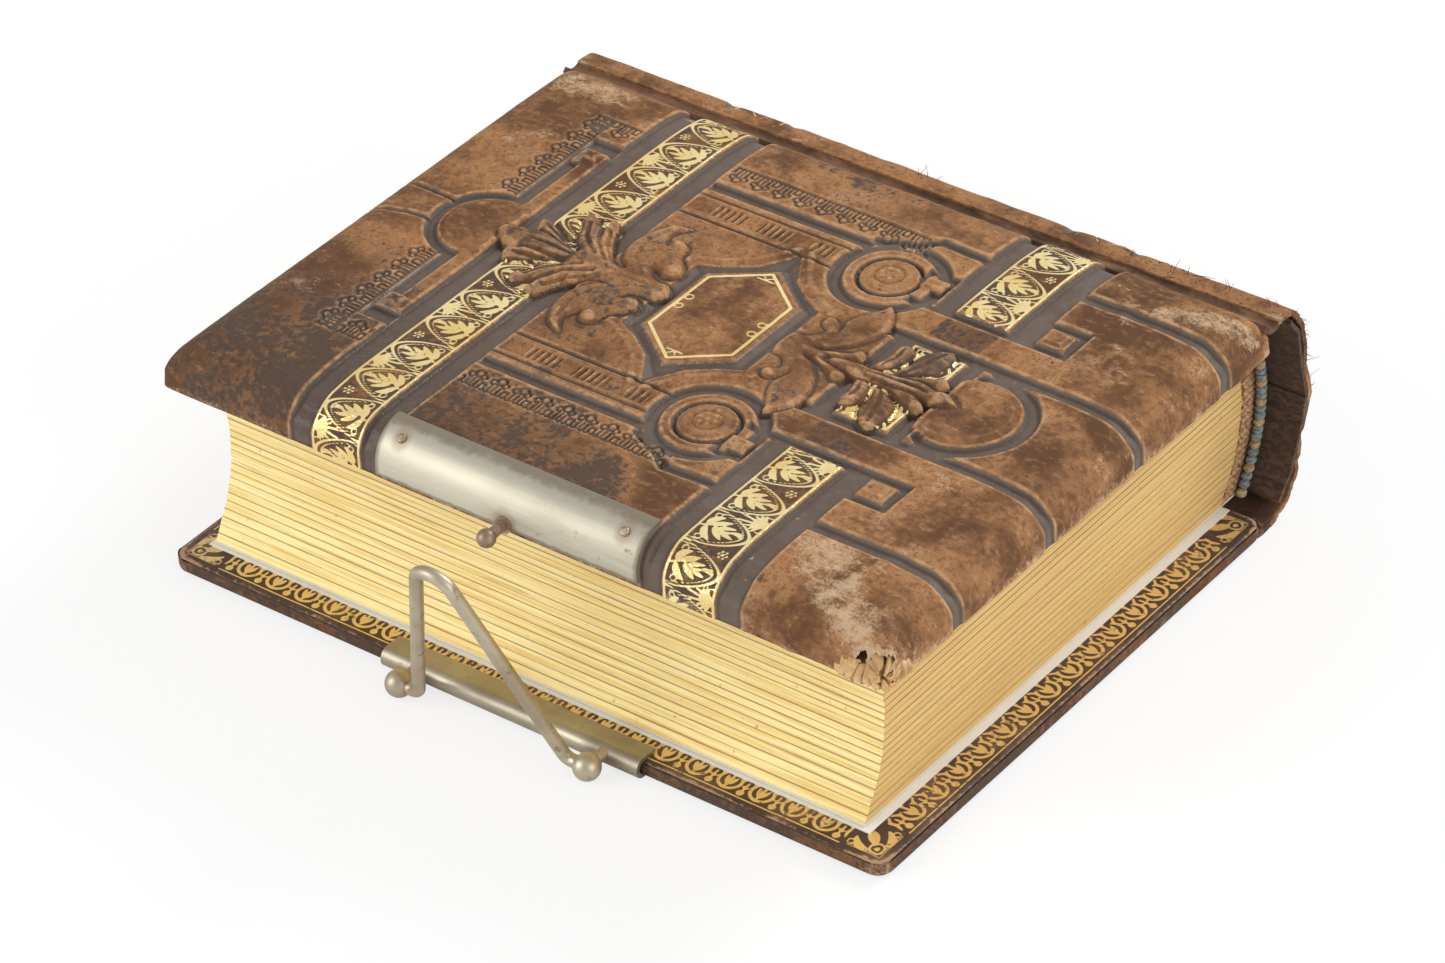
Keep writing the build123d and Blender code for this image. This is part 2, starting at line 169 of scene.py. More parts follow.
class MaterialMaker:
    """Builds one material: nodes through one method, and its shader's constants."""

    def __init__(self, name: str) -> None:
        """Start an empty material.

        Args:
            name: its name.
        """
        self.material = bpy.data.materials.new(name)
        self.material.use_nodes = True
        self.tree = self.material.node_tree
        self.tree.nodes.clear()
        self.shader = self.tree.nodes.new("ShaderNodeBsdfPrincipled")
        output = self.tree.nodes.new("ShaderNodeOutputMaterial")
        self.tree.links.new(self.shader.outputs[0], output.inputs[0])
        self._place: Optional[Value] = None

    def feed(self, socket: bpy.types.NodeSocket, value: object) -> None:
        """Fill a socket.

        Args:
            socket: the socket.
            value: a value to link, or a number, colour or vector to set.
        """
        if isinstance(value, Value):
            self.tree.links.new(value.socket, socket)
        elif isinstance(value, tuple) and len(value) == 3 and socket.type == "RGBA":
            socket.default_value = (*value, 1.0)
        else:
            socket.default_value = value

    def node(
        self,
        kind: str,
        settings: Optional[Dict[str, object]] = None,
        inputs: Optional[Dict[Union[int, str], object]] = None,
        output: Union[int, str] = 0,
    ) -> Value:
        """Add a node.

        Args:
            kind: the node's type.
            settings: its properties, or "stops" for a colour ramp, set first.
            inputs: values or numbers by socket name or index.
            output: the socket to give back.

        Returns:
            The output socket as a value.
        """
        made = self.tree.nodes.new(kind)
        for key, value in (settings or {}).items():
            if key == "stops":
                ramp = made.color_ramp
                while len(ramp.elements) < len(value):
                    ramp.elements.new(0.5)
                for element, (at, colour) in zip(ramp.elements, value):
                    element.position = at
                    element.color = (*colour, 1.0)
            else:
                setattr(made, key, value)
        for key, value in (inputs or {}).items():
            self.feed(made.inputs[key], value)
        return Value(self, made.outputs[output])

    def place(self) -> Value:
        """Object coordinates, in metres."""
        if self._place is None:
            self._place = self.node("ShaderNodeTexCoord", output="Object")
        return self._place

    def scaled(self, scale: Tuple[float, float, float]) -> Value:
        """Object coordinates stretched by a factor along each axis."""
        return self.node("ShaderNodeMapping", {}, {"Vector": self.place(), "Scale": scale})

    def axis(self, letter: str) -> Value:
        """One Object coordinate in millimetres."""
        return self.node("ShaderNodeSeparateXYZ", {}, {"Vector": self.place()}, letter) * 1000.0

    def noise(
        self,
        per_metre: float,
        detail: float = 4.0,
        rough: float = 0.55,
        stretch: Optional[Tuple[float, float, float]] = None,
        twist: float = 0.0,
    ) -> Value:
        """Cloudy noise.

        Args:
            per_metre: how many blotches fit in a metre.
            detail: octaves.
            rough: weight of the finer octaves.
            stretch: factor along each axis.
            twist: distortion.

        Returns:
            The noise, about 0.3 to 0.7.
        """
        where = self.scaled(stretch) if stretch else self.place()
        return self.node(
            "ShaderNodeTexNoise",
            {},
            {"Vector": where, "Scale": per_metre, "Detail": detail, "Roughness": rough, "Distortion": twist},
        )

    def cells(self, per_metre: float) -> Value:
        """Distance to scattered cell centres."""
        return self.node("ShaderNodeTexVoronoi", {}, {"Vector": self.place(), "Scale": per_metre})

    def mask(self, name: str) -> Value:
        """A number stored on the mesh."""
        return self.node("ShaderNodeAttribute", {"attribute_name": name}, {}, "Fac")

    def mix(self, share: Union[Value, float], low: Union[Value, Colour], high: Union[Value, Colour]) -> Value:
        """Mix two colours.

        Args:
            share: 0 for the first, 1 for the second.
            low: first colour.
            high: second colour.

        Returns:
            The mixed colour.
        """
        return self.node("ShaderNodeMix", {"data_type": "RGBA"}, {0: share, 6: low, 7: high}, 2)

    def finish(
        self,
        colour: Union[Value, Colour],
        roughness: Union[Value, float],
        metallic: Union[Value, float] = 0.0,
        height: Optional[Value] = None,
        bump_mm: float = 0.1,
        **constants: object,
    ) -> Material:
        """Feed the shader.

        Args:
            colour: base colour.
            roughness: roughness.
            metallic: metallic.
            height: bump height, 0 to 1.
            bump_mm: what height 1 stands for, in millimetres.
            constants: other shader sockets by name with underscores.

        Returns:
            The finished material.
        """
        for name, value in (("Base Color", colour), ("Roughness", roughness), ("Metallic", metallic)):
            self.feed(self.shader.inputs[name], value)
        if height is not None:
            bump = self.node("ShaderNodeBump", {},
                             {"Height": height, "Strength": 1.0, "Distance": bump_mm * MM})
            self.feed(self.shader.inputs["Normal"], bump)
        for name, value in constants.items():
            self.feed(self.shader.inputs[name.replace("_", " ")], value)
        return self.material


# ---------------------------------------------------------------- finishes
@dataclass(frozen=True)
class SuedeLeather:
    """Brown leather worn to a nap, with smooth pressed grooves, gilding, scuffs and soiling, painted shade in
    its hollows, round its leaf work and at one corner, and painted highlights on its raised tops.
    """

    name: str = "suede_leather"
    body: Colour = (0.39, 0.19, 0.078)
    lit: Colour = (0.58, 0.34, 0.175)
    dark: Colour = (0.115, 0.054, 0.027)
    # Dark colour for soiling and for the painted shade in the hollows, round the leaf work and at the left
    # front corner
    soot_and_shade: Colour = (0.060, 0.041, 0.034)
    groove: Colour = (0.128, 0.094, 0.073)
    sheen: Colour = (0.195, 0.155, 0.124)
    scuff: Colour = (0.60, 0.43, 0.27)
    gold: Colour = (0.80, 0.595, 0.225)
    bright_gold: Colour = (0.93, 0.77, 0.40)

    def make(self) -> Material:
        """Build the material.

        Returns:
            The finished material.
        """
        m = MaterialMaker(self.name)
        cloud = m.noise(38.0, 5.0, 0.62, None, 0.5)
        patch = m.noise(95.0, 5.0, 0.65)
        grain = m.noise(760.0, 4.0, 0.65)
        fine = m.noise(2300.0, 3.0, 0.6)
        nap = m.noise(430.0, 4.0, 0.7, (1.0, 1.7, 1.0), 0.3)
        pores = m.cells(1500.0)
        groove = m.mask("groove").ramp(-0.14, 0.14)
        gilt = m.mask("gilt").ramp(-0.04, 0.045)
        soil = m.mask("soil")
        wear = m.mask("wear")
        edge = m.mask("edge")
        tone = m.mix((cloud + (patch - 0.5) * 0.7).ramp(0.30, 0.64), self.dark, self.body)
        tone = m.mix(patch.ramp(0.52, 0.74) * 0.45, tone, self.lit)
        tone = m.mix(nap.ramp(0.50, 0.80) * 0.5, tone, self.lit)
        tone = m.mix(grain.ramp(0.54, 0.34) * 0.5, tone, self.dark)
        tone = m.mix(fine.ramp(0.50, 0.30) * 0.35, tone, self.dark)
        # Darkening from the stored mask: soiling in patches and the dark band grounds, with painted shade at
        # the left front corner and round the leaf work
        dirt_and_shade = (soil + (cloud - 0.5) * 1.5 + (patch - 0.5) * 2.6 + (grain - 0.5) * 2.0).ramp(0.28, 0.94)
        tone = m.mix(dirt_and_shade * 0.9, tone, self.soot_and_shade)
        rubbed = (wear + (patch - 0.5) * 1.8 + (nap - 0.5) * 1.7 + (fine - 0.5) * 1.2).ramp(0.45, 1.35)
        tone = m.mix(rubbed * 0.8, tone, self.scuff)
        pressed = m.mix(patch.ramp(0.4, 0.7) * 0.5 + grain.ramp(0.5, 0.7) * 0.3, self.groove, self.sheen)
        pressed = m.mix(dirt_and_shade * 0.45, pressed, self.soot_and_shade)
        tone = m.mix(groove, tone, pressed)
        # Painted shade in the relief's hollows and painted highlight on its raised tops, both from the edge
        # mask
        tone = m.mix((0.0 - edge).ramp(0.06, 0.55) * 0.5, tone, self.soot_and_shade)
        tone = m.mix(edge.ramp(0.06, 0.5) * (0.25 + nap.ramp(0.4, 0.6) * 0.5), tone, self.lit)
        lost = (grain * 0.6 + patch * 0.4 + wear * 0.12).ramp(0.66, 0.74)
        kept = gilt * (1.0 - lost) * (1.0 - fine.ramp(0.68, 0.76) * 0.6)
        gold = m.mix(patch.ramp(0.35, 0.65), self.gold, self.bright_gold)
        tone = m.mix(kept, tone, gold)
        lint = m.cells(150.0).ramp(0.034, 0.018) * m.noise(210.0, 2.0, 0.5).ramp(0.56, 0.60)
        tone = m.mix(lint * 0.8, tone, (0.82, 0.79, 0.72))
        rough = 0.9 - groove * 0.42 - kept * 0.5 - dirt_and_shade * 0.25 + (grain - 0.5) * 0.3
        height = (grain * 0.5 + fine * 0.3 + pores * 0.35) * (1.0 - groove * 0.55) + nap * 0.35
        return m.finish(tone, rough, kept * 0.35, height, 0.26, Specular_IOR_Level=0.16)


@dataclass(frozen=True)
class WornLeather:
    """Plain brown leather of the spine and of folded edges."""

    name: str = "worn_leather"
    body: Colour = (0.17, 0.085, 0.045)
    lit: Colour = (0.34, 0.19, 0.105)
    dark: Colour = (0.05, 0.027, 0.018)

    def make(self) -> Material:
        """Build the material.

        Returns:
            The finished material.
        """
        m = MaterialMaker(self.name)
        cloud = m.noise(60.0, 5.0, 0.6)
        grain = m.noise(650.0, 4.0, 0.65)
        streak = m.noise(240.0, 4.0, 0.6, (0.35, 1.6, 1.6))
        tone = m.mix(cloud.ramp(0.36, 0.6), self.dark, self.body)
        tone = m.mix((streak.ramp(0.48, 0.72)) * 0.7, tone, self.lit)
        tone = m.mix(grain.ramp(0.5, 0.3) * 0.5, tone, self.dark)
        height = grain * 0.6 + streak * 0.4
        return m.finish(tone, 0.9 - (cloud - 0.5) * 0.3, 0.0, height, 0.18, Specular_IOR_Level=0.3)


@dataclass(frozen=True)
class BorderLeather:
    """Smooth dark turn-in leather with a gilt border."""

    name: str = "border_leather"
    body: Colour = (0.055, 0.029, 0.022)
    lit: Colour = (0.15, 0.08, 0.052)
    gold: Colour = (0.82, 0.60, 0.25)

    def make(self) -> Material:
        """Build the material.

        Returns:
            The finished material.
        """
        m = MaterialMaker(self.name)
        cloud = m.noise(70.0, 5.0, 0.6)
        grain = m.noise(900.0, 4.0, 0.65)
        gilt = m.mask("gilt").ramp(-0.05, 0.06)
        wear = m.mask("wear")
        tone = m.mix(cloud.ramp(0.42, 0.68), self.body, self.lit)
        rubbed = (wear + (grain - 0.5) * 1.6 + (cloud - 0.5)).ramp(0.45, 0.85)
        tone = m.mix(rubbed, tone, (0.40, 0.25, 0.15))
        kept = gilt * (1.0 - (grain + cloud * 0.5).ramp(0.82, 0.95))
        tone = m.mix(kept, tone, self.gold)
        rough = 0.5 + rubbed * 0.3 - kept * 0.14
        return m.finish(tone, rough, kept * 0.7, grain, 0.08, Specular_IOR_Level=0.4)


@dataclass(frozen=True)
class GiltCard:
    """Cream card whose edges are gilt."""

    name: str = "gilt_card"
    gold: Colour = (0.86, 0.61, 0.20)
    pale: Colour = (0.98, 0.82, 0.385)
    tan: Colour = (0.66, 0.39, 0.135)
    rust: Colour = (0.50, 0.255, 0.075)
    line: Colour = (0.34, 0.165, 0.045)
    page: Colour = (0.86, 0.80, 0.66)
    low: float = 3.6
    high: float = 36.6
    pitch: float = 1.32
    back_edge: float = 59.5
    lean: float = 2.5
    bulge: float = 20.0
    frame_fore: float = -102.0
    frame_back: float = -10.0
    frame_head: float = -63.6
    frame_tail: float = 59.8

    def make(self) -> Material:
        """Build the material: points marked as page are cream paper, the card's edges are gilt.

        Returns:
            The finished material.
        """
        m = MaterialMaker(self.name)
        way = m.node("ShaderNodeTexCoord", output="Normal")
        face = m.mask("page").ramp(0.85, 1.0)
        end = m.node("ShaderNodeSeparateXYZ", {}, {"Vector": way}, "X").size().ramp(0.5, 0.9)
        level = (m.axis("Z") - self.low) / (self.high - self.low)
        turn = ((m.axis("Z") - self.low) / self.pitch).fraction()
        wander = m.noise(45.0, 4.0, 0.6)
        seam = ((turn - 0.5).size() + (wander - 0.5) * 0.12).ramp(0.415, 0.475)
        hairline = ((turn - 0.5).size() + (wander - 0.5) * 0.5).ramp(0.03, 0.0) * wander.ramp(0.5, 0.6)
        ply = m.noise(50.0, 3.0, 0.5, (1.0, 1.0, 40.0))
        scrape = m.noise(70.0, 5.0, 0.65, (0.6, 0.6, 16.0))
        speck = m.noise(620.0, 3.0, 0.6)
        cloud = m.noise(30.0, 3.0, 0.5)
        tone = m.mix(ply.ramp(0.30, 0.62), self.gold, self.pale)
        tone = m.mix((level + (cloud - 0.5) * 0.9).ramp(0.55, 1.2) * 0.5, tone, (0.80, 0.53, 0.18))
        # Painted shade: the head and tail ends of the leaves, picked out by the way they face, are toned down
        # to tan
        tone = m.mix(end * (0.50 + ply.ramp(0.4, 0.6) * 0.35), tone, self.tan)
        tone = m.mix(scrape.ramp(0.60, 0.72) * 0.55, tone, self.rust)
        tone = m.mix(speck.ramp(0.68, 0.76) * 0.55, tone, self.line)
        tone = m.mix(hairline * 0.4, tone, self.rust)
        tone = m.mix(seam * (0.72 + end * 0.16), tone, self.line)
        spots = m.noise(130.0, 4.0, 0.6)
        paper = m.mix(spots.ramp(0.62, 0.75) * 0.35, self.page, (0.58, 0.42, 0.22))
        share = level.most(0.0).least(1.0)
        back = self.back_edge + share * self.lean + share * (1.0 - share) * self.bulge
        across, x = m.axis("Y") - back, m.axis("X")
        rule = (across - self.frame_fore).least(self.frame_back - across)
        rule = rule.least((x - self.frame_head).least(self.frame_tail - x))
        ruled = (0.32 - rule.size()).ramp(-0.06, 0.06).most((0.16 - (rule - 1.3).size()).ramp(-0.06, 0.06))
        paper = m.mix(rule.ramp(-1.0, -7.0) * 0.28, paper, (0.66, 0.52, 0.32))
        paper = m.mix(ruled * 0.8, paper, (0.66, 0.46, 0.17))
        rough = 0.5 + scrape * 0.2 + face * 0.2
        height = ply * 0.4 + scrape * 0.4 - seam * 0.8
        return m.finish(m.mix(face, tone, paper), rough, (1.0 - face) * 0.12, height, 0.08,
                        Specular_IOR_Level=0.4)


@dataclass(frozen=True)
class Paper:
    """White endpaper, toned in cloudy patches."""

    name: str = "endpaper"
    body: Colour = (0.80, 0.77, 0.70)
    toned: Colour = (0.63, 0.54, 0.40)

    def make(self) -> Material:
        """Build the material.

        Returns:
            The finished material.
        """
        m = MaterialMaker(self.name)
        cloud = m.noise(55.0, 4.0, 0.6)
        fibre = m.noise(900.0, 3.0, 0.6, (1.0, 0.3, 1.0))
        tone = m.mix(cloud.ramp(0.5, 0.8) * 0.6, self.body, self.toned)
        tone = m.mix(fibre.ramp(0.62, 0.78) * 0.25, tone, self.toned)
        return m.finish(tone, 0.85 - cloud * 0.1, 0.0, fibre, 0.03)


@dataclass(frozen=True)
class Cloth:
    """Coarse woven linen, for the guards and the lining."""

    name: str = "guard_linen"
    body: Colour = (0.40, 0.22, 0.11)
    thread: Colour = (0.62, 0.42, 0.22)
    dark: Colour = (0.15, 0.065, 0.035)

    def make(self) -> Material:
        """Build the material.

        Returns:
            The finished material.
        """
        m = MaterialMaker(self.name)
        speck = m.noise(900.0, 3.0, 0.6)
        cloud = m.noise(120.0, 4.0, 0.6)
        weave = m.node("ShaderNodeTexWave", {"wave_type": "BANDS", "bands_direction": "DIAGONAL"},
                       {"Vector": m.place(), "Scale": 420.0, "Distortion": 2.0, "Detail": 2.0}, "Fac")
        tone = m.mix(weave * 0.6, self.body, self.thread)
        tone = m.mix(speck.ramp(0.5, 0.66), tone, self.dark)
        tone = m.mix(cloud.ramp(0.5, 0.75) * 0.5, tone, self.dark)
        return m.finish(tone, 0.9 - weave * 0.1, 0.0, weave * 0.6 + speck * 0.4, 0.1)


@dataclass(frozen=True)
class Seam:
    """Reddish, speckled edge where a card meets its guard."""

    name: str = "seam"

    def make(self) -> Material:
        """Build the material.

        Returns:
            The finished material.
        """
        m = MaterialMaker(self.name)
        speck = m.noise(1100.0, 3.0, 0.6)
        tone = m.mix(speck.ramp(0.45, 0.6), (0.17, 0.06, 0.03), (0.55, 0.31, 0.15))
        return m.finish(tone, 0.85 - speck * 0.1, 0.0, speck, 0.08)


@dataclass(frozen=True)
class Cord:
    """Thread of the head and tail bands."""

    name: str
    body: Colour
    shade: Colour

    def make(self) -> Material:
        """Build the material.

        Returns:
            The finished material.
        """
        m = MaterialMaker(self.name)
        twist = m.noise(1500.0, 3.0, 0.6, (1.0, 0.3, 2.2))
        tone = m.mix(twist.ramp(0.35, 0.62), self.shade, self.body)
        return m.finish(tone, 0.8 - twist * 0.1, 0.0, twist, 0.12)


@dataclass(frozen=True)
class Board:
    """Fibrous tan pasteboard and wadding."""

    name: str
    body: Colour
    shade: Colour

    def make(self) -> Material:
        """Build the material.

        Returns:
            The finished material.
        """
        m = MaterialMaker(self.name)
        fibre = m.noise(420.0, 5.0, 0.7, (1.0, 1.0, 3.0), 1.0)
        cloud = m.noise(110.0, 3.0, 0.5)
        tone = m.mix(fibre.ramp(0.4, 0.66), self.shade, self.body)
        tone = m.mix(cloud.ramp(0.5, 0.72) * 0.5, tone, self.shade)
        return m.finish(tone, 0.95 - cloud * 0.1, 0.0, fibre, 0.25)


@dataclass(frozen=True)
class Nickel:
    """Nickel plate, dulled and stained."""

    name: str = "tarnished_nickel"
    plate: Colour = (0.44, 0.395, 0.30)
    dull: Colour = (0.28, 0.24, 0.175)
    base_metal: Colour = (0.36, 0.25, 0.14)
    stained: float = 0.35

    def make(self) -> Material:
        """Build the material.

        Returns:
            The finished material.
        """
        m = MaterialMaker(self.name)
        cloud = m.noise(55.0, 4.0, 0.55)
        spot = m.noise(420.0, 4.0, 0.6)
        hair = m.noise(500.0, 3.0, 0.6, (0.08, 1.0, 1.0))
        green = m.noise(80.0, 5.0, 0.7, (0.6, 1.5, 1.5))
        tone = m.mix(cloud.ramp(0.38, 0.68) * 0.8, self.plate, self.dull)
        tone = m.mix(hair.ramp(0.5, 0.75) * 0.16, tone, (0.66, 0.61, 0.50))
        pits = (spot + self.stained - 0.35).ramp(0.62, 0.74)
        tone = m.mix(pits * 0.7, tone, self.base_metal)
        tone = m.mix(green.ramp(0.66, 0.78) * 0.5, tone, (0.27, 0.30, 0.15))
        rough = 0.36 + cloud * 0.2 + pits * 0.2
        return m.finish(tone, rough, 0.88 - pits * 0.3, hair * 0.4 + spot * 0.6, 0.02)


@dataclass(frozen=True)
class CatchNickel(Nickel):
    """Nickel of the upper plate, browner at its edges and round its rivets and stud."""

    name: str = "catch_nickel"
    plate: Colour = (0.60, 0.56, 0.44)
    dull: Colour = (0.47, 0.435, 0.335)
    half_length: float = 27.0
    rivet_x: float = 23.0
    rivet_z: float = 45.6
    stud_z: float = 39.4

    def make(self) -> Material:
        """Build the material.

        Returns:
            The finished material.
        """
        m = MaterialMaker(self.name)
        x, z = m.axis("X").size(), m.axis("Z")
        cloud = m.noise(48.0, 5.0, 0.6, (0.7, 1.0, 1.0))
        spot = m.noise(460.0, 4.0, 0.6)
        hair = m.noise(520.0, 3.0, 0.6, (0.07, 1.0, 1.0))
        green = m.noise(70.0, 5.0, 0.72, (0.7, 1.3, 1.3))
        rivet = (x - self.rivet_x) * (x - self.rivet_x) + (z - self.rivet_z) * (z - self.rivet_z)
        stud = x * x + (z - self.stud_z) * (z - self.stud_z)
        smudge = (rivet + spot * 4.0).ramp(6.5, 2.0).most((stud + spot * 6.0).ramp(14.0, 5.0))
        rim = (self.half_length - x + (spot - 0.5) * 0.9).ramp(1.1, 0.1)
        ragged = (spot - 0.5) * 0.8
        rim = rim.most((z + ragged).ramp(46.35, 46.95)).most((z - ragged).ramp(39.4, 38.8))
        tone = m.mix(cloud.ramp(0.36, 0.66) * 0.85, self.plate, self.dull)
        tone = m.mix(hair.ramp(0.48, 0.72) * 0.3, tone, (0.74, 0.71, 0.61))
        tone = m.mix(z.ramp(43.6, 46.9) * 0.35, tone, (0.33, 0.315, 0.27))
        pits = (spot + (cloud - 0.5) * 0.25).ramp(0.63, 0.73)
        tone = m.mix(pits * 0.6, tone, self.base_metal)
        tone = m.mix(smudge * 0.55, tone, self.base_metal)
        tone = m.mix(rim * 0.7, tone, (0.20, 0.16, 0.105))
        tone = m.mix(green.ramp(0.62, 0.74) * 0.5, tone, (0.30, 0.33, 0.17))
        rough = 0.46 + cloud * 0.2 + pits * 0.15 + rim * 0.1
        return m.finish(tone, rough, 0.72 - pits * 0.3 - smudge * 0.2, hair * 0.4 + spot * 0.6, 0.03)


class Kind(Enum):
    """The book's finishes."""

    COVER = "cover"
    PLAIN = "plain"
    BORDER = "border"
    CARD = "card"
    PAPER = "paper"
    LINEN = "linen"
    SEAM = "seam"
    BLUE_CORD = "blue_cord"
    GOLD_CORD = "gold_cord"
    BOARD = "board"
    WADDING = "wadding"
    RAW = "raw"
    LINER = "liner"
    NICKEL = "nickel"
    CATCH = "catch"
    WIRE = "wire"
    BRONZE = "bronze"


class FinishShelf:
    """Holds each finish's material."""

    def __init__(self, nodes: Dict[str, Piece]) -> None:
        """Make all the materials once.

        Args:
            nodes: the CAD nodes' objects by name.
        """
        self.nodes = nodes
        recipes = {
            Kind.COVER: SuedeLeather(),
            Kind.PLAIN: WornLeather(),
            Kind.BORDER: BorderLeather(),
            Kind.RAW: WornLeather("raw_leather", (0.60, 0.37, 0.165), (0.80, 0.58, 0.32),
                                  (0.20, 0.10, 0.045)),
            Kind.CARD: GiltCard(),
            Kind.PAPER: Paper(),
            Kind.LINEN: Cloth(),
            Kind.SEAM: Seam(),
            Kind.BLUE_CORD: Cord("blue_cord", (0.25, 0.29, 0.28), (0.10, 0.12, 0.13)),
            Kind.GOLD_CORD: Cord("gold_cord", (0.48, 0.37, 0.19), (0.24, 0.165, 0.075)),
            Kind.BOARD: Board("pasteboard", (0.62, 0.43, 0.24), (0.36, 0.22, 0.11)),
            Kind.WADDING: Board("wadding", (0.60, 0.45, 0.27), (0.33, 0.21, 0.11)),
            Kind.LINER: Board("liner_card", (0.13, 0.075, 0.045), (0.05, 0.028, 0.018)),
            Kind.NICKEL: Nickel(),
            Kind.CATCH: CatchNickel(),
            Kind.WIRE: Nickel("wire_nickel", (0.52, 0.455, 0.345), (0.36, 0.29, 0.20),
                              (0.25, 0.16, 0.09), 0.40),
            Kind.BRONZE: Nickel("browned_brass", (0.44, 0.335, 0.26), (0.27, 0.18, 0.125),
                                (0.20, 0.11, 0.07), 0.43),
        }
        self.materials = {kind: recipe.make() for kind, recipe in recipes.items()}

    def put(self, piece: Piece, *kinds: Kind) -> None:
        """Give a piece its materials.

        Args:
            piece: the piece.
            kinds: its finishes in slot order.
        """
        piece.data.materials.clear()
        for kind in kinds:
            piece.data.materials.append(self.materials[kind])

    def put_on_node(self, node: str, kind: Kind) -> None:
        """Give a CAD node a finish in all its slots.

        Args:
            node: the node's name.
            kind: the finish.
        """
        piece = self.nodes[node]
        if not piece.material_slots:
            piece.data.materials.append(self.materials[kind])
        for place in piece.material_slots:
            place.material = self.materials[kind]


# ---------------------------------------------------------------- bench work
class Bench:
    """Mesh work with Blender's own operators."""

    @staticmethod
    def clear() -> None:
        """Leave edit mode and deselect everything."""
        if bpy.context.object and bpy.context.object.mode != "OBJECT":
            bpy.ops.object.mode_set(mode="OBJECT")
        bpy.ops.object.select_all(action="DESELECT")

    @staticmethod
    def take(piece: Piece) -> None:
        """Make a piece the only selected and active one.

        Args:
            piece: the piece.
        """
        Bench.clear()
        piece.select_set(True)
        bpy.context.view_layer.objects.active = piece

    @staticmethod
    def settle(piece: Piece, name: str) -> Piece:
        """Apply a piece's place to its mesh and name it.

        Args:
            piece: the piece.
            name: its new name.

        Returns:
            The piece.
        """
        Bench.take(piece)
        bpy.ops.object.transform_apply(location=True, rotation=True, scale=True)
        piece.name = name
        piece.data.name = name
        return piece

    @staticmethod
    def block(name: str, low: Sequence[float], high: Sequence[float]) -> Piece:
        """A cube primitive at its size and place.

        Args:
            name: the piece's name.
            low: lowest corner in millimetres.
            high: highest corner in millimetres.

        Returns:
            The piece.
        """
        Bench.clear()
        middle = [(a + b) / 2 * MM for a, b in zip(low, high)]
        bpy.ops.mesh.primitive_cube_add(size=1.0, location=middle)
        piece = bpy.context.object
        piece.scale = [max(b - a, 1e-4) * MM for a, b in zip(low, high)]
        return Bench.settle(piece, name)

    @staticmethod
    def net(name: str, columns: int, rows: int) -> Piece:
        """A grid primitive of that many cells, from 0 to 1 both ways.

        Args:
            name: the piece's name.
            columns: cells along X.
            rows: cells along Y.

        Returns:
            The piece.
        """
        Bench.clear()
        bpy.ops.mesh.primitive_grid_add(x_subdivisions=columns, y_subdivisions=rows, size=1.0,
                                        location=(0.5, 0.5, 0.0))
        return Bench.settle(bpy.context.object, name)

    @staticmethod
    def points(piece: Piece) -> Array:
        """A piece's vertices as they are stored.

        Args:
            piece: the piece.

        Returns:
            One row for each vertex, in metres.
        """
        flat = np.empty(len(piece.data.vertices) * 3, dtype=np.float64)
        piece.data.vertices.foreach_get("co", flat)
        return flat.reshape(-1, 3)

    @staticmethod
    def move_points(piece: Piece, where: Array) -> None:
        """Set a piece's vertices, in metres."""
        piece.data.vertices.foreach_set("co", np.ascontiguousarray(where, dtype=np.float32).ravel())
        piece.data.update()

    @staticmethod
    def store(piece: Piece, name: str, numbers: Array) -> None:
        """Store one number per vertex under a name."""
        layer = piece.data.attributes.new(name, "FLOAT", "POINT")
        layer.data.foreach_set("value", np.ascontiguousarray(numbers, dtype=np.float32))

    @staticmethod
    def averaged(numbers: Array, shape: Tuple[int, int], rounds: int) -> Array:
        """Numbers on a net, each evened out with its neighbours.

        Args:
            numbers: one per vertex of a net.
            shape: the net's rows and columns of vertices.
            rounds: how many times neighbours are averaged.

        Returns:
            The evened numbers.
        """
        table = numbers.reshape(shape)
        for _ in range(rounds):
            wide = np.pad(table, 1, mode="edge")
            table = (wide[:-2, 1:-1] + wide[2:, 1:-1] + wide[1:-1, :-2] + wide[1:-1, 2:] + 2 * table) / 6
        return table.ravel()

    @staticmethod
    def drop_points(piece: Piece, doomed: Array) -> None:
        """Delete vertices.

        Args:
            piece: the piece.
            doomed: True for each vertex that goes.
        """
        Bench.take(piece)
        bpy.ops.object.mode_set(mode="EDIT")
        bpy.ops.mesh.select_mode(type="VERT")
        bpy.ops.mesh.select_all(action="DESELECT")
        bpy.ops.object.mode_set(mode="OBJECT")
        piece.data.vertices.foreach_set("select", np.ascontiguousarray(doomed, dtype=bool))
        bpy.ops.object.mode_set(mode="EDIT")
        bpy.ops.mesh.delete(type="VERT")
        bpy.ops.object.mode_set(mode="OBJECT")

    @staticmethod
    def modify(piece: Piece, kind: str, **settings: object) -> None:
        """Add a modifier and apply it.

        Args:
            piece: the piece.
            kind: the modifier's type.
            settings: its properties.
        """
        Bench.take(piece)
        made = piece.modifiers.new(kind.lower(), kind)
        for key, value in settings.items():
            setattr(made, key, value)
        bpy.ops.object.modifier_apply(modifier=made.name)

    @staticmethod
    def soften(piece: Piece, degrees: float = 40.0) -> None:
        """Smooth the shading except over sharp edges."""
        Bench.take(piece)
        bpy.ops.object.shade_smooth_by_angle(angle=math.radians(degrees))

    @staticmethod
    def edit(piece: Piece, operation: Callable[..., object], **settings: object) -> None:
        """Run an edit-mode operator on the whole of a piece.

        Args:
            piece: the piece.
            operation: the operator.
            settings: its properties.
        """
        Bench.take(piece)
        bpy.ops.object.mode_set(mode="EDIT")
        bpy.ops.mesh.select_all(action="SELECT")
        operation(**settings)
        bpy.ops.object.mode_set(mode="OBJECT")

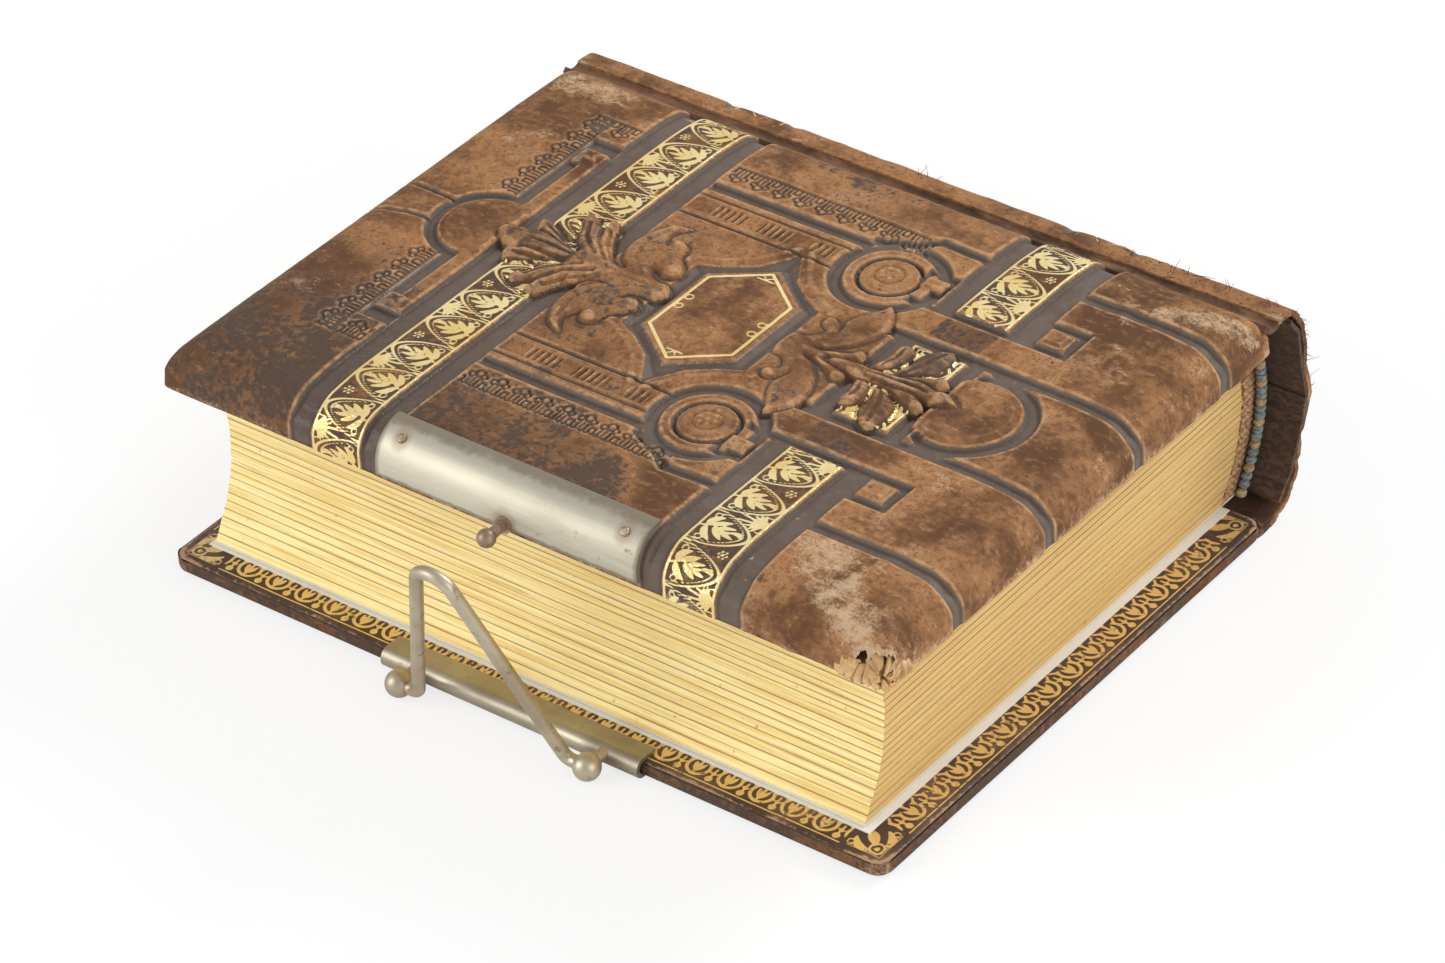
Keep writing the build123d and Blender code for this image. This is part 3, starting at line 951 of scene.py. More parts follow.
    @staticmethod
    def join(name: str, pieces: List[Piece]) -> Piece:
        """Join pieces into one.

        Args:
            name: the joined piece's name.
            pieces: what is joined.

        Returns:
            The joined piece.
        """
        Bench.clear()
        for piece in pieces:
            piece.select_set(True)
        bpy.context.view_layer.objects.active = pieces[0]
        bpy.ops.object.join()
        return Bench.settle(pieces[0], name)


def lumps(u: Array, v: Array, scale: float, seed: int, octaves: int = 3) -> Array:
    """Smooth random numbers over a plane.

    Args:
        u: first coordinate in millimetres.
        v: second coordinate in millimetres.
        scale: size of the largest lumps in millimetres.
        seed: random seed.
        octaves: how many finer layers are added.

    Returns:
        Numbers between about -1 and 1.
    """
    total = np.zeros_like(u)
    weight, norm = 1.0, 0.0
    for octave in range(octaves):
        field_size = 97
        table = np.random.default_rng(seed + octave).uniform(-1, 1, (field_size, field_size))
        a, b = u / scale + 31.7, v / scale + 17.3
        ia, ib = np.floor(a).astype(int), np.floor(b).astype(int)
        fa, fb = a - ia, b - ib
        fa, fb = fa * fa * (3 - 2 * fa), fb * fb * (3 - 2 * fb)
        ia, ib, ja, jb = ia % field_size, ib % field_size, (ia + 1) % field_size, (ib + 1) % field_size
        low = table[ia, ib] * (1 - fa) + table[ja, ib] * fa
        top = table[ia, jb] * (1 - fa) + table[ja, jb] * fa
        total += weight * (low * (1 - fb) + top * fb)
        norm += weight
        weight *= 0.5
        scale *= 0.5
    return total / norm


# ---------------------------------------------------------------- drawing on leather
class Drawing:
    """Shapes over points (u, w): each gives the distance inside its outline, negative outside."""

    def __init__(self, u: Array, w: Array) -> None:
        """Keep the points, in millimetres."""
        self.u = u
        self.w = w

    def box(self, u0: float, u1: float, w0: float, w1: float) -> Array:
        """An upright rectangle."""
        return np.minimum(np.minimum(self.u - u0, u1 - self.u), np.minimum(self.w - w0, w1 - self.w))

    def disc(self, cu: float, cw: float, radius: float) -> Array:
        """A disc."""
        return radius - np.hypot(self.u - cu, self.w - cw)

    def ring(self, cu: float, cw: float, radius: float, width: float) -> Array:
        """A ring about a circle."""
        return width / 2 - np.abs(np.hypot(self.u - cu, self.w - cw) - radius)

    def stroke(self, points: Sequence[Point2], width: float) -> Array:
        """A line of even width.

        Args:
            points: what it runs through.
            width: its width.

        Returns:
            Distance inside the line.
        """
        inside = np.full(self.u.shape, -99.0)
        for (au, aw), (bu, bw) in zip(points[:-1], points[1:]):
            du, dw = bu - au, bw - aw
            length = du * du + dw * dw + 1e-12
            share = np.clip(((self.u - au) * du + (self.w - aw) * dw) / length, 0, 1)
            gap = np.hypot(self.u - au - share * du, self.w - aw - share * dw)
            np.maximum(inside, width / 2 - gap, out=inside)
        return inside

    def outline(self, points: Sequence[Point2]) -> Array:
        """A filled polygon.

        Args:
            points: its corners in order.

        Returns:
            Distance inside it.
        """
        gap = np.full(self.u.shape, 99.0)
        within = np.zeros(self.u.shape, dtype=bool)
        count = len(points)
        for i in range(count):
            (au, aw), (bu, bw) = points[i], points[(i + 1) % count]
            du, dw = bu - au, bw - aw
            share = np.clip(((self.u - au) * du + (self.w - aw) * dw) / (du * du + dw * dw + 1e-12), 0, 1)
            np.minimum(gap, np.hypot(self.u - au - share * du, self.w - aw - share * dw), out=gap)
            crosses = (aw > self.w) != (bw > self.w)
            at = au + (self.w - aw) / (dw if abs(dw) > 1e-12 else 1e-12) * du
            within ^= crosses & (self.u < at)
        return np.where(within, gap, -gap)

    def leaf(self, start: Point2, bend: Point2, tip: Point2, width: float) -> Array:
        """A curved leaf or lobe.

        Args:
            start: foot of the leaf.
            bend: control point of its curve.
            tip: its tip.
            width: half width at its widest.

        Returns:
            Distance inside the leaf.
        """
        inside = np.full(self.u.shape, -99.0)
        steps = 18
        for i in range(steps + 1):
            t = i / steps
            cu = (1 - t) ** 2 * start[0] + 2 * t * (1 - t) * bend[0] + t * t * tip[0]
            cw = (1 - t) ** 2 * start[1] + 2 * t * (1 - t) * bend[1] + t * t * tip[1]
            swell = 0.16 + 0.84 * math.sin(math.pi * t ** 0.75) ** 0.8 if 0 < t < 1 else 0.12
            np.maximum(inside, width * swell - np.hypot(self.u - cu, self.w - cw), out=inside)
        return inside


def union(*shapes: Array) -> Array:
    """Everything inside any of the shapes."""
    return np.maximum.reduce(shapes)


def overlap(*shapes: Array) -> Array:
    """What is inside all of the shapes."""
    return np.minimum.reduce(shapes)


def smooth(x: Array, low: float, high: float) -> Array:
    """0 below low, 1 above high, smooth between."""
    t = np.clip((x - low) / (high - low), 0, 1)
    return t * t * (3 - 2 * t)


def rounded(points: Sequence[Point2], parts: int = 4) -> List[Point2]:
    """A closed smooth line through points.

    Args:
        points: its corners in order.
        parts: short lines per side.

    Returns:
        The points of the smooth line.
    """
    p = np.array(points, dtype=float)
    before, after, last = np.roll(p, 1, 0), np.roll(p, -1, 0), np.roll(p, -2, 0)
    rows = []
    for t in np.arange(parts) / parts:
        rows.append(0.5 * (2 * p + (after - before) * t + (2 * before - 5 * p + 4 * after - last) * t ** 2
                           + (3 * p - before - 3 * after + last) * t ** 3))
    return [tuple(q) for q in np.stack(rows, axis=1).reshape(-1, 2)]


@dataclass(frozen=True)
class CarvedLeaf:
    """One raised leaf, drawn on one side of the pattern's middle line and mirrored to the other."""

    outline: Sequence[Point2]
    high: float
    steep: float
    flutes: Sequence[Sequence[Point2]] = ()
    knobs: Sequence[Tuple[float, float, float, float]] = ()


LEFT_SPRAY = (
    CarvedLeaf(
        ((-12.6, -2.0), (-12.6, 2.1), (-15.2, 2.4), (-17.3, 3.2), (-18.3, 5.0), (-17.2, 5.0), (-15.8, 4.1),
         (-14.1, 4.5), (-13.4, 6.3), (-14.3, 8.3), (-16.2, 10.1), (-16.8, 11.8), (-17.2, 13.4), (-18.8, 14.1),
         (-20.2, 13.3), (-20.5, 11.9), (-21.6, 13.0), (-22.3, 15.0), (-21.7, 16.7), (-20.2, 18.6),
         (-23.5, 17.3),
         (-25.4, 14.3), (-26.1, 11.3), (-26.0, 7.6), (-24.5, 4.6), (-22.4, 2.7), (-26.0, 1.7), (-30.0, 1.6),
         (-30.0, -2.0)), 1.0, 0.75,
        (((-13.0, 0.0), (-34.0, 0.0)), ((-18.6, 2.0), (-22.6, 6.0), (-23.8, 10.5), (-23.0, 15.6)),
         ((-16.0, 6.8), (-18.2, 9.0), (-20.6, 9.6), (-22.6, 7.4))),
        ((-14.7, 6.1, 1.4, 0.6), (-18.8, 12.7, 1.1, 0.6), (-22.4, 16.6, 1.0, 0.3))),
    CarvedLeaf(
        ((-22.0, -1.0), (-22.0, 1.7), (-25.4, 2.9), (-26.8, 4.6), (-28.6, 7.0), (-30.0, 9.4), (-30.7, 11.6),
         (-31.6, 12.9), (-32.7, 12.6), (-33.0, 11.0), (-33.3, 10.4), (-34.4, 11.3), (-36.0, 11.9),
         (-37.3, 10.8),
         (-36.9, 9.2), (-36.0, 7.6), (-35.3, 5.6), (-33.8, 3.6), (-32.4, 2.3), (-32.4, -1.0)), 1.8, 1.2,
        (((-26.0, 1.6), (-30.2, 5.2), (-33.0, 10.8)), ((-28.5, 1.9), (-33.0, 5.6), (-35.0, 9.2)),
         ((-24.5, 2.0), (-28.4, 5.4), (-30.9, 9.6))),
        ((-36.1, 10.8, 1.3, 0.6), (-31.8, 12.0, 1.0, 0.5))),
    CarvedLeaf(
        ((-26.0, -1.2), (-26.0, 1.2), (-30.0, 1.6), (-34.0, 2.4), (-36.5, 3.8), (-39.5, 5.8), (-41.4, 6.4),
         (-42.9, 5.5), (-42.6, 3.9), (-42.0, 2.9), (-44.4, 2.8), (-46.4, 1.8), (-47.9, 0.4), (-47.9, -0.8),
         (-44.0, -2.5), (-30.0, -2.5)), 1.7, 1.2,
        (((-30.0, 1.0), (-36.0, 2.0), (-42.0, 3.0)), ((-30.0, 0.0), (-41.0, 0.0)),
         ((-36.0, 3.0), (-41.0, 4.9))),
        ((-41.8, 5.2, 1.2, 0.6), (-46.4, 0.5, 1.4, 0.6))),
)
RIGHT_PALMETTE = (
    CarvedLeaf(
        ((12.6, -2.0), (12.6, 2.9), (14.8, 3.4), (16.4, 5.0), (16.7, 6.7), (15.2, 7.7), (14.7, 8.8),
         (15.4, 9.8),
         (17.0, 9.7), (18.1, 8.4), (19.0, 6.4), (18.6, 8.8), (18.2, 10.6), (18.8, 12.6), (20.0, 14.7),
         (21.1, 16.2), (21.8, 18.2), (23.5, 16.3), (24.9, 13.7), (25.2, 10.4), (24.2, 7.4), (22.4, 4.5),
         (20.0, 2.3), (17.6, 1.2), (17.6, -2.0)), 0.55, 0.5,
        (((16.6, 2.0), (20.4, 6.4), (22.2, 12.0), (21.9, 16.5)),), ((16.0, 8.9, 1.0, 0.45),)),
    CarvedLeaf(
        ((18.5, -1.5), (18.5, 1.1), (19.8, 1.4), (23.4, 2.9), (25.8, 4.6), (27.1, 3.5), (26.7, 2.1),
         (23.7, 1.3),
         (20.9, 0.6), (20.9, -1.5)), 0.6, 0.5, (), ((26.0, 3.5, 0.9, 0.45),)),
    CarvedLeaf(((15.4, -1.1), (15.4, 1.0), (18.6, 1.25), (20.7, 0.9), (21.1, 0.0), (20.8, -1.0)), 0.75, 0.5),
    CarvedLeaf(((22.4, -1.0), (22.6, 0.6), (25.0, 1.35), (28.0, 1.6), (30.4, 0.9), (30.6, -0.5),
                (28.0, -1.6)),
               0.95, 0.6),
    CarvedLeaf(
        ((29.4, 2.4), (29.9, 4.4), (30.2, 6.6), (30.1, 8.4), (31.6, 9.8), (33.3, 9.2), (34.0, 7.2),
         (33.4, 5.0),
         (32.8, 3.2), (31.4, 2.2)), 1.25, 0.9, (((30.6, 2.8), (31.7, 5.2), (31.9, 8.0)),),
        ((31.9, 8.3, 1.2, 0.6),)),
    CarvedLeaf(
        ((33.3, 2.6), (34.2, 5.6), (34.3, 8.2), (35.3, 10.7), (38.3, 12.6), (39.9, 10.8), (40.2, 8.2),
         (39.4, 5.4), (37.5, 3.8), (35.2, 2.6)), 1.0, 0.9, (((35.0, 3.2), (36.8, 6.2), (38.0, 11.2)),)),
    CarvedLeaf(
        ((29.0, -1.2), (29.0, 1.2), (33.0, 2.0), (35.3, 2.3), (38.4, 3.9), (40.9, 4.8), (42.7, 5.0),
         (43.7, 3.6),
         (42.6, 2.1), (44.6, 2.0), (46.4, 1.4), (48.0, 0.3), (48.0, -1.0), (44.0, -2.2), (36.0, -2.2)),
        1.6, 1.1, (((30.0, 0.9), (36.0, 1.4), (42.4, 2.0)), ((30.0, 0.0), (42.0, 0.0))),
        ((42.6, 3.9, 1.1, 0.6), (44.9, 0.2, 1.4, 0.7))),
)


@dataclass
class CoverPattern:
    """The pressed, raised and gilt pattern of the front cover.

    u runs along the cover and w across it from the pattern's own middle line.
    """

    band_left: float = -36.3
    band_right: float = 36.6
    band_half: float = 5.1
    lobe_pitch: float = 9.2
    far: float = 99.0

    def gilt_band(self, u: Array, w: Array, centre: float) -> Array:
        """Gold of one band: edge lines, half lobes with scrolls, fans and rosettes.

        Args:
            u: along the cover.
            w: across the cover.
            centre: the band's middle line.

        Returns:
            Distance inside the gold.
        """
        t = u - centre
        pitch = self.lobe_pitch
        s = np.mod(w + pitch / 2, pitch) - pitch / 2
        pair = np.mod(np.floor((w + pitch / 2) / pitch), 2)
        local = Drawing(t, s)
        half, rule = self.band_half, 0.45
        edges = union(local.box(-half, rule - half, -99, 99), local.box(half - rule, half, -99, 99))
        lobe = 1 - (np.abs((t - 4.5) / 9.0) ** 1.55 + np.abs(s / 4.4) ** 1.75)
        rim = 0.20 - np.abs(lobe) * 3.4
        second = 0.09 - np.abs(lobe - 0.2) * 3.4
        stem = local.stroke([(4.3, -0.4), (2.6, 0.5), (0.6, -0.3), (-1.6, 0.3), (-3.0, 0.0)], 0.42)
        leaves = union(
            local.leaf((3.7, 0.3), (3.6, 1.9), (1.9, 2.9), 0.62),
            local.leaf((2.9, 0.4), (1.6, 1.5), (0.0, 2.3), 0.55),
            local.leaf((1.4, 0.2), (0.4, 0.8), (-1.5, 1.3), 0.45),
            local.leaf((3.5, -0.4), (3.4, -2.0), (1.3, -2.9), 0.64),
            local.leaf((2.2, 0.0), (1.2, -1.2), (-0.5, -2.0), 0.52),
            local.leaf((0.6, -0.2), (-0.4, -0.9), (-2.2, -1.0), 0.42),
            local.leaf((-1.0, 0.2), (-1.9, 0.6), (-3.0, 0.6), 0.34),
            local.ring(3.3, 2.9, 0.55, 0.3), local.ring(3.2, -3.0, 0.55, 0.3),
            local.disc(0.9, 1.3, 0.28), local.disc(0.9, -1.2, 0.28),
        )
        inside = overlap(union(stem, leaves), lobe * 5 - 0.5)
        q = np.abs(s) - pitch / 2
        fan = Drawing(t, q)
        rays = [fan.stroke([(-4.6, 0.0), (-4.6 + 5.8 * math.cos(a), 5.8 * math.sin(a))], 0.44)
                for a in np.radians([-60, -43, -26, -9])]
        fans = overlap(union(*rays), -lobe * 4.3 - 0.5)
        cup = union(fan.ring(-4.6, 0.0, 2.2, 0.3), fan.disc(-4.4, 0.0, 0.9))
        fans = union(fans, overlap(cup, -lobe * 4.3 - 0.4))
        dots = [fan.disc(-2.9 + 0.8 * math.cos(a), 0.8 * math.sin(a), 0.26)
                for a in np.radians(range(0, 360, 60))]
        rosette = union(fan.disc(-2.9, 0.0, 0.3), *dots)
        low_half = np.where(s < 0, pair, 1 - pair)
        between = np.where(low_half > 0.5, rosette, fans)
        gold = union(edges, rim, second, inside, between)
        return overlap(gold, half - np.abs(t))

    def leaf_work(self, u: Array, w: Array) -> Tuple[Array, Array]:
        """Raised leaf work left and right of the middle field.

        Args:
            u: along the cover.
            w: across the cover, either sign.

        Returns:
            Height in millimetres and distance inside the leaf work.
        """
        side = np.abs(w)
        height = np.zeros_like(u)
        cover = np.full(u.shape, -9.0)
        for leaf in (*LEFT_SPRAY, *RIGHT_PALMETTE):
            line = rounded(leaf.outline)
            us, ws = zip(*line)
            near = (u > min(us) - 4) & (u < max(us) + 4) & (side < max(ws) + 4)
            if not near.any():
                continue
            d = Drawing(u[near], side[near])
            inside = d.outline(line)
            within = smooth(inside, 0.0, 0.35)
            rise = leaf.high * (1 - np.exp(-np.clip(inside, 0, None) / leaf.steep))
            for flute in leaf.flutes:
                rise -= 0.30 * leaf.high * np.exp(-((d.stroke(flute, 0.0)) / 0.34) ** 2) * within
            for ku, kw, radius, more in leaf.knobs:
                rise += more * np.exp(-((d.u - ku) ** 2 + (d.w - kw) ** 2) / radius ** 2) * within
            height[near] = np.maximum(height[near], rise)
            cover[near] = np.maximum(cover[near], inside)
        return height, cover

    def lace(self, along: Array, across: Array, pitch: float = 4.6) -> Array:
        """A comb of small arches and trefoils along a line.

        Args:
            along: distance along the comb.
            across: distance from its base, towards its points.
            pitch: length of one arch.

        Returns:
            Distance inside its pressed lines.
        """
        s = np.mod(along, pitch) - pitch / 2
        d = Drawing(np.abs(s), across)
        return union(
            d.stroke([(0.85, 0.0), (0.85, 2.7)], 0.55),
            d.stroke([(1.75, 0.0), (1.75, 1.8), (2.3, 1.8)], 0.5),
            d.ring(0.0, 3.7, 0.8, 0.5),
            d.ring(1.15, 3.0, 0.6, 0.45),
            d.stroke([(0.0, 0.6), (0.0, 2.4)], 0.45),
            d.stroke([(0.0, 0.15), (2.3, 0.15)], 0.5),
        )

    def grooves(self, d: Drawing) -> Array:
        """Plain pressed lines, rings and boxes.

        Args:
            d: the cover's points, with w from the middle line to either side.

        Returns:
            Distance inside the grooves.
        """
        far = self.far
        return union(
            d.box(-46.2, -41.6, -1, far), d.box(-31.0, -26.4, -1, far),
            d.box(26.9, 31.3, 21.6, far), d.box(41.9, 46.9, 21.6, far),
            d.box(26.9, 31.3, -1, 13.0), d.box(41.9, 45.2, -1, 12.5),
            d.box(24.5, far, 11.5, 14.2),
            d.box(46.0, far, 37.2, 40.0),
            d.stroke([(8.2, 33.6), (14.6, 36.6), (17.8, 39.2), (27.5, 38.6)], 2.2),
            d.box(21.9, 54.5, 21.2, 23.3),
            overlap(d.box(45.8, 54.6, 21.2, 30.0), -d.box(47.6, 52.8, 23.2, 28.0)),
            d.ring(16.2, 25.5, 9.4, 2.7), d.ring(16.2, 25.5, 5.6, 0.9),
            overlap(d.box(20.6, 26.9, 27.4, 31.6), -d.box(22.0, 25.6, 28.0, 30.0)),
            d.box(-26.6, 8.2, 30.4, 33.1),
            d.box(-26.6, 7.0, 28.5, 28.95), d.box(-26.6, 7.0, 22.1, 22.7),
            overlap(d.ring(49.6, 0.0, 11.0, 2.9), d.box(46.8, far, -1, far)),
            d.stroke([(46.2, 9.4), (47.6, 10.4)], 2.0),
            overlap(d.ring(-50.5, 0.0, 9.7, 2.3), d.box(-far, -49.6, -1, far)),
            d.box(-52.4, -49.4, 9.0, 31.4), d.box(-52.4, -45.8, 28.8, 32.6),
            d.stroke([(-59.6, 3.4), (-64.0, 3.7), (-75.0, 5.2), (-82.0, 5.8)], 0.9),
        )

    def draw(self, u: Array, w: Array) -> Dict[str, Array]:
        """Work out the whole pattern.

        Args:
            u: along the cover.
            w: across the cover from the pattern's middle line.

        Returns:
            Height, and the groove and gilt distances, by name.
        """
        a = np.abs(w)
        d = Drawing(u, a)
        far = self.far
        pressed = self.grooves(d)
        outer_frame = d.outline([(12.4, -20.0), (12.4, 10.4), (8.4, 12.3), (4.0, 15.6), (1.0, 20.6),
                                 (0.0, 22.6), (-1.0, 20.6), (-4.2, 15.6), (-9.0, 12.3), (-13.2, 10.4),
                                 (-13.2, -20.0)])
        field_shape = d.outline([(9.6, -20.0), (9.6, 9.2), (0.0, 16.6), (-10.2, 9.2), (-10.2, -20.0)])
        frame = overlap(outer_frame, -field_shape)
        points_edge = 0.75 - np.abs(d.outline([
            (14.6, -20.0), (14.6, 11.4), (9.8, 13.8), (5.6, 17.0), (2.4, 21.8), (0.0, 26.0), (-2.4, 21.8),
            (-5.8, 17.0), (-10.2, 13.8), (-15.2, 11.4), (-15.2, -20.0)]))
        points_edge = overlap(points_edge, d.box(-far, far, 10.0, far))
        leaf_height, leaf_cover = self.leaf_work(u, w)
        lace = union(
            overlap(self.lace(u + 25.8, 38.9 - a), d.box(-25.8, 17.0, 33.9, 39.6)),
            overlap(self.lace(a - 10.5, -(u + 52.6)), d.box(-58.4, -52.5, 10.5, 39.2)),
            overlap(self.lace(u + 56.4, 38.9 - a), d.box(-56.4, -46.6, 33.9, 39.6)),
        )
        ribs = d.box(-26.0, 4.5, 23.9, 27.6)
        rib_wave = np.cos(u * 2 * math.pi / 1.3) * (np.sin(u * 2 * math.pi / 10.4) > -0.35)
        ribbing = overlap(np.where(rib_wave < 0, -0.28 - 0.4 * rib_wave, -1.0), ribs - 0.35)
        gold = overlap(self.gilt_band(u, w, self.band_left), 0.0 - leaf_cover + 0.1)
        right = self.gilt_band(-u + 2 * self.band_right, w + 2.0, self.band_right)
        right_open = union(d.box(31.4, 41.8, 23.3, far), d.box(31.4, 41.8, -1, 11.3))
        right = overlap(right, right_open, -leaf_cover + 0.1)
        hexagon = d.outline([(8.1, -20.0), (8.1, 8.2), (-0.4, 14.7), (-8.9, 8.2), (-8.9, -20.0)])
        line = 0.3 - np.abs(hexagon + 0.1)
        curls = union(d.ring(7.2, 1.5, 0.7, 0.34), d.ring(-8.0, 1.5, 0.7, 0.34),
                      d.stroke([(-2.0, 12.6), (1.2, 12.6)], 0.35),
                      d.stroke([(-1.2, 13.6), (-0.4, 12.8), (0.4, 13.6)], 0.3))
        gold = union(gold, right, line, overlap(curls, hexagon + 0.4))
        pressed = np.where(leaf_cover > 0, -1.0, pressed)
        height = -1.0 * smooth(pressed, -0.22, 0.5)
        frame_depth = np.clip(frame / 2.4, 0, 1)
        height = np.where(frame > 0, np.minimum(height, -0.35 - 1.15 * frame_depth), height)
        cushion = 0.25 * smooth(field_shape, 0, 0.8) + 0.35 * smooth(field_shape, 0.5, 8)
        height = np.where(field_shape > 0, cushion, height)
        height += 0.35 * smooth(points_edge, -0.3, 0.5) * (frame < 0) * (field_shape < 0)
        for cu, cw, r, high in ((16.2, 25.5, 5.0, 0.5), (49.4, 0.0, 9.2, 0.55), (-50.5, 0.0, 8.2, 0.5)):
            bowl = d.disc(cu, cw, r)
            keep = (bowl > 0) & (leaf_cover < 0)
            if cu > 40:
                keep &= u > 44.5
            if cu < -40:
                keep &= u < -46.2
            height = np.where(keep, high * smooth(bowl, 0, 1.4), height)
            pressed = np.where(keep, -1.0, pressed)
        boss = union(*[d.disc(16.2 + 1.35 * math.cos(q), 25.5 + 1.35 * math.sin(q), 0.6)
                       for q in np.radians(range(0, 360, 60))], d.disc(16.2, 25.5, 0.7))
        eye = d.ring(16.2, 25.5, 2.6, 0.5)
        height += 0.3 * smooth(boss, -0.15, 0.4) - 0.3 * smooth(eye, -0.1, 0.2)
        stud = d.box(-51.4, -46.4, 24.6, 29.0)
        height = np.where(stud > 0, 0.9 * smooth(stud, 0, 1.2), height)
        stud_cross = union(d.stroke([(-51, 25), (-46.8, 28.6)], 0.4),
                           d.stroke([(-51, 28.6), (-46.8, 25)], 0.4))
        height -= 0.25 * smooth(stud_cross, -0.1, 0.2) * (stud > 0.4)
        for box in ((47.8, 52.4, 23.8, 27.6), (21.9, 26.2, 26.0, 29.2)):
            pad = d.box(*box)
            height = np.where(pad > 0, 0.45 * smooth(pad, 0, 0.7), height)
            pressed = np.where(pad > 0, -1.0, pressed)
        height -= 0.55 * smooth(lace, -0.12, 0.16)
        height += np.where(ribs > 0, 0.3 * rib_wave * smooth(ribs, 0, 0.5) - 0.25 * smooth(ribs, 0, 0.4), 0)
        height = np.where(leaf_cover > 0, np.maximum(leaf_height, -0.1), height)
        rim_of_leaves = np.exp(-((leaf_cover + 0.35) / 0.35) ** 2)
        height = height - 0.32 * rim_of_leaves * (leaf_cover < 0)
        dark = union(np.where(leaf_cover > -0.05, -1.0, pressed), np.where(leaf_cover > 0, -1.0, frame),
                     lace - 0.03, ribbing, np.where(leaf_cover > 0, -1.0, -0.35 + 0.5 * rim_of_leaves))
        dark = np.maximum(dark, np.where((np.abs(field_shape) < 0.5), 0.3 - np.abs(field_shape), -1.0))
        return {"height": height, "groove": dark, "gilt": gold, "leaf": leaf_cover}


def joint_strip(
    name: str,
    cells: Tuple[int, int],
    corners: Tuple[Point2, Point2],
    level: Callable[[Array, Array, Array], Array],
    thickness: float,
    shelf: FinishShelf,
) -> Piece:
    """A strip of leather along a joint.

    Args:
        name: the piece's name.
        cells: net cells along and across it.
        corners: X and Y of its two opposite corners.
        level: gives its upper face from X, Y and the share of the way across.
        thickness: of the leather.
        shelf: the finishes.

    Returns:
        The piece.
    """
    (x_low, y_low), (x_high, y_high) = corners
    piece = Bench.net(name, *cells)
    grid = Bench.points(piece)
    x = x_low + grid[:, 0] * (x_high - x_low)
    y = y_low + grid[:, 1] * (y_high - y_low)
    Bench.move_points(piece, np.stack([x, y, level(x, y, grid[:, 1])], axis=1) * MM)
    Bench.modify(piece, "SOLIDIFY", thickness=thickness * MM, offset=-1.0)
    Bench.soften(piece, 50.0)
    shelf.put(piece, Kind.PLAIN)
    return piece


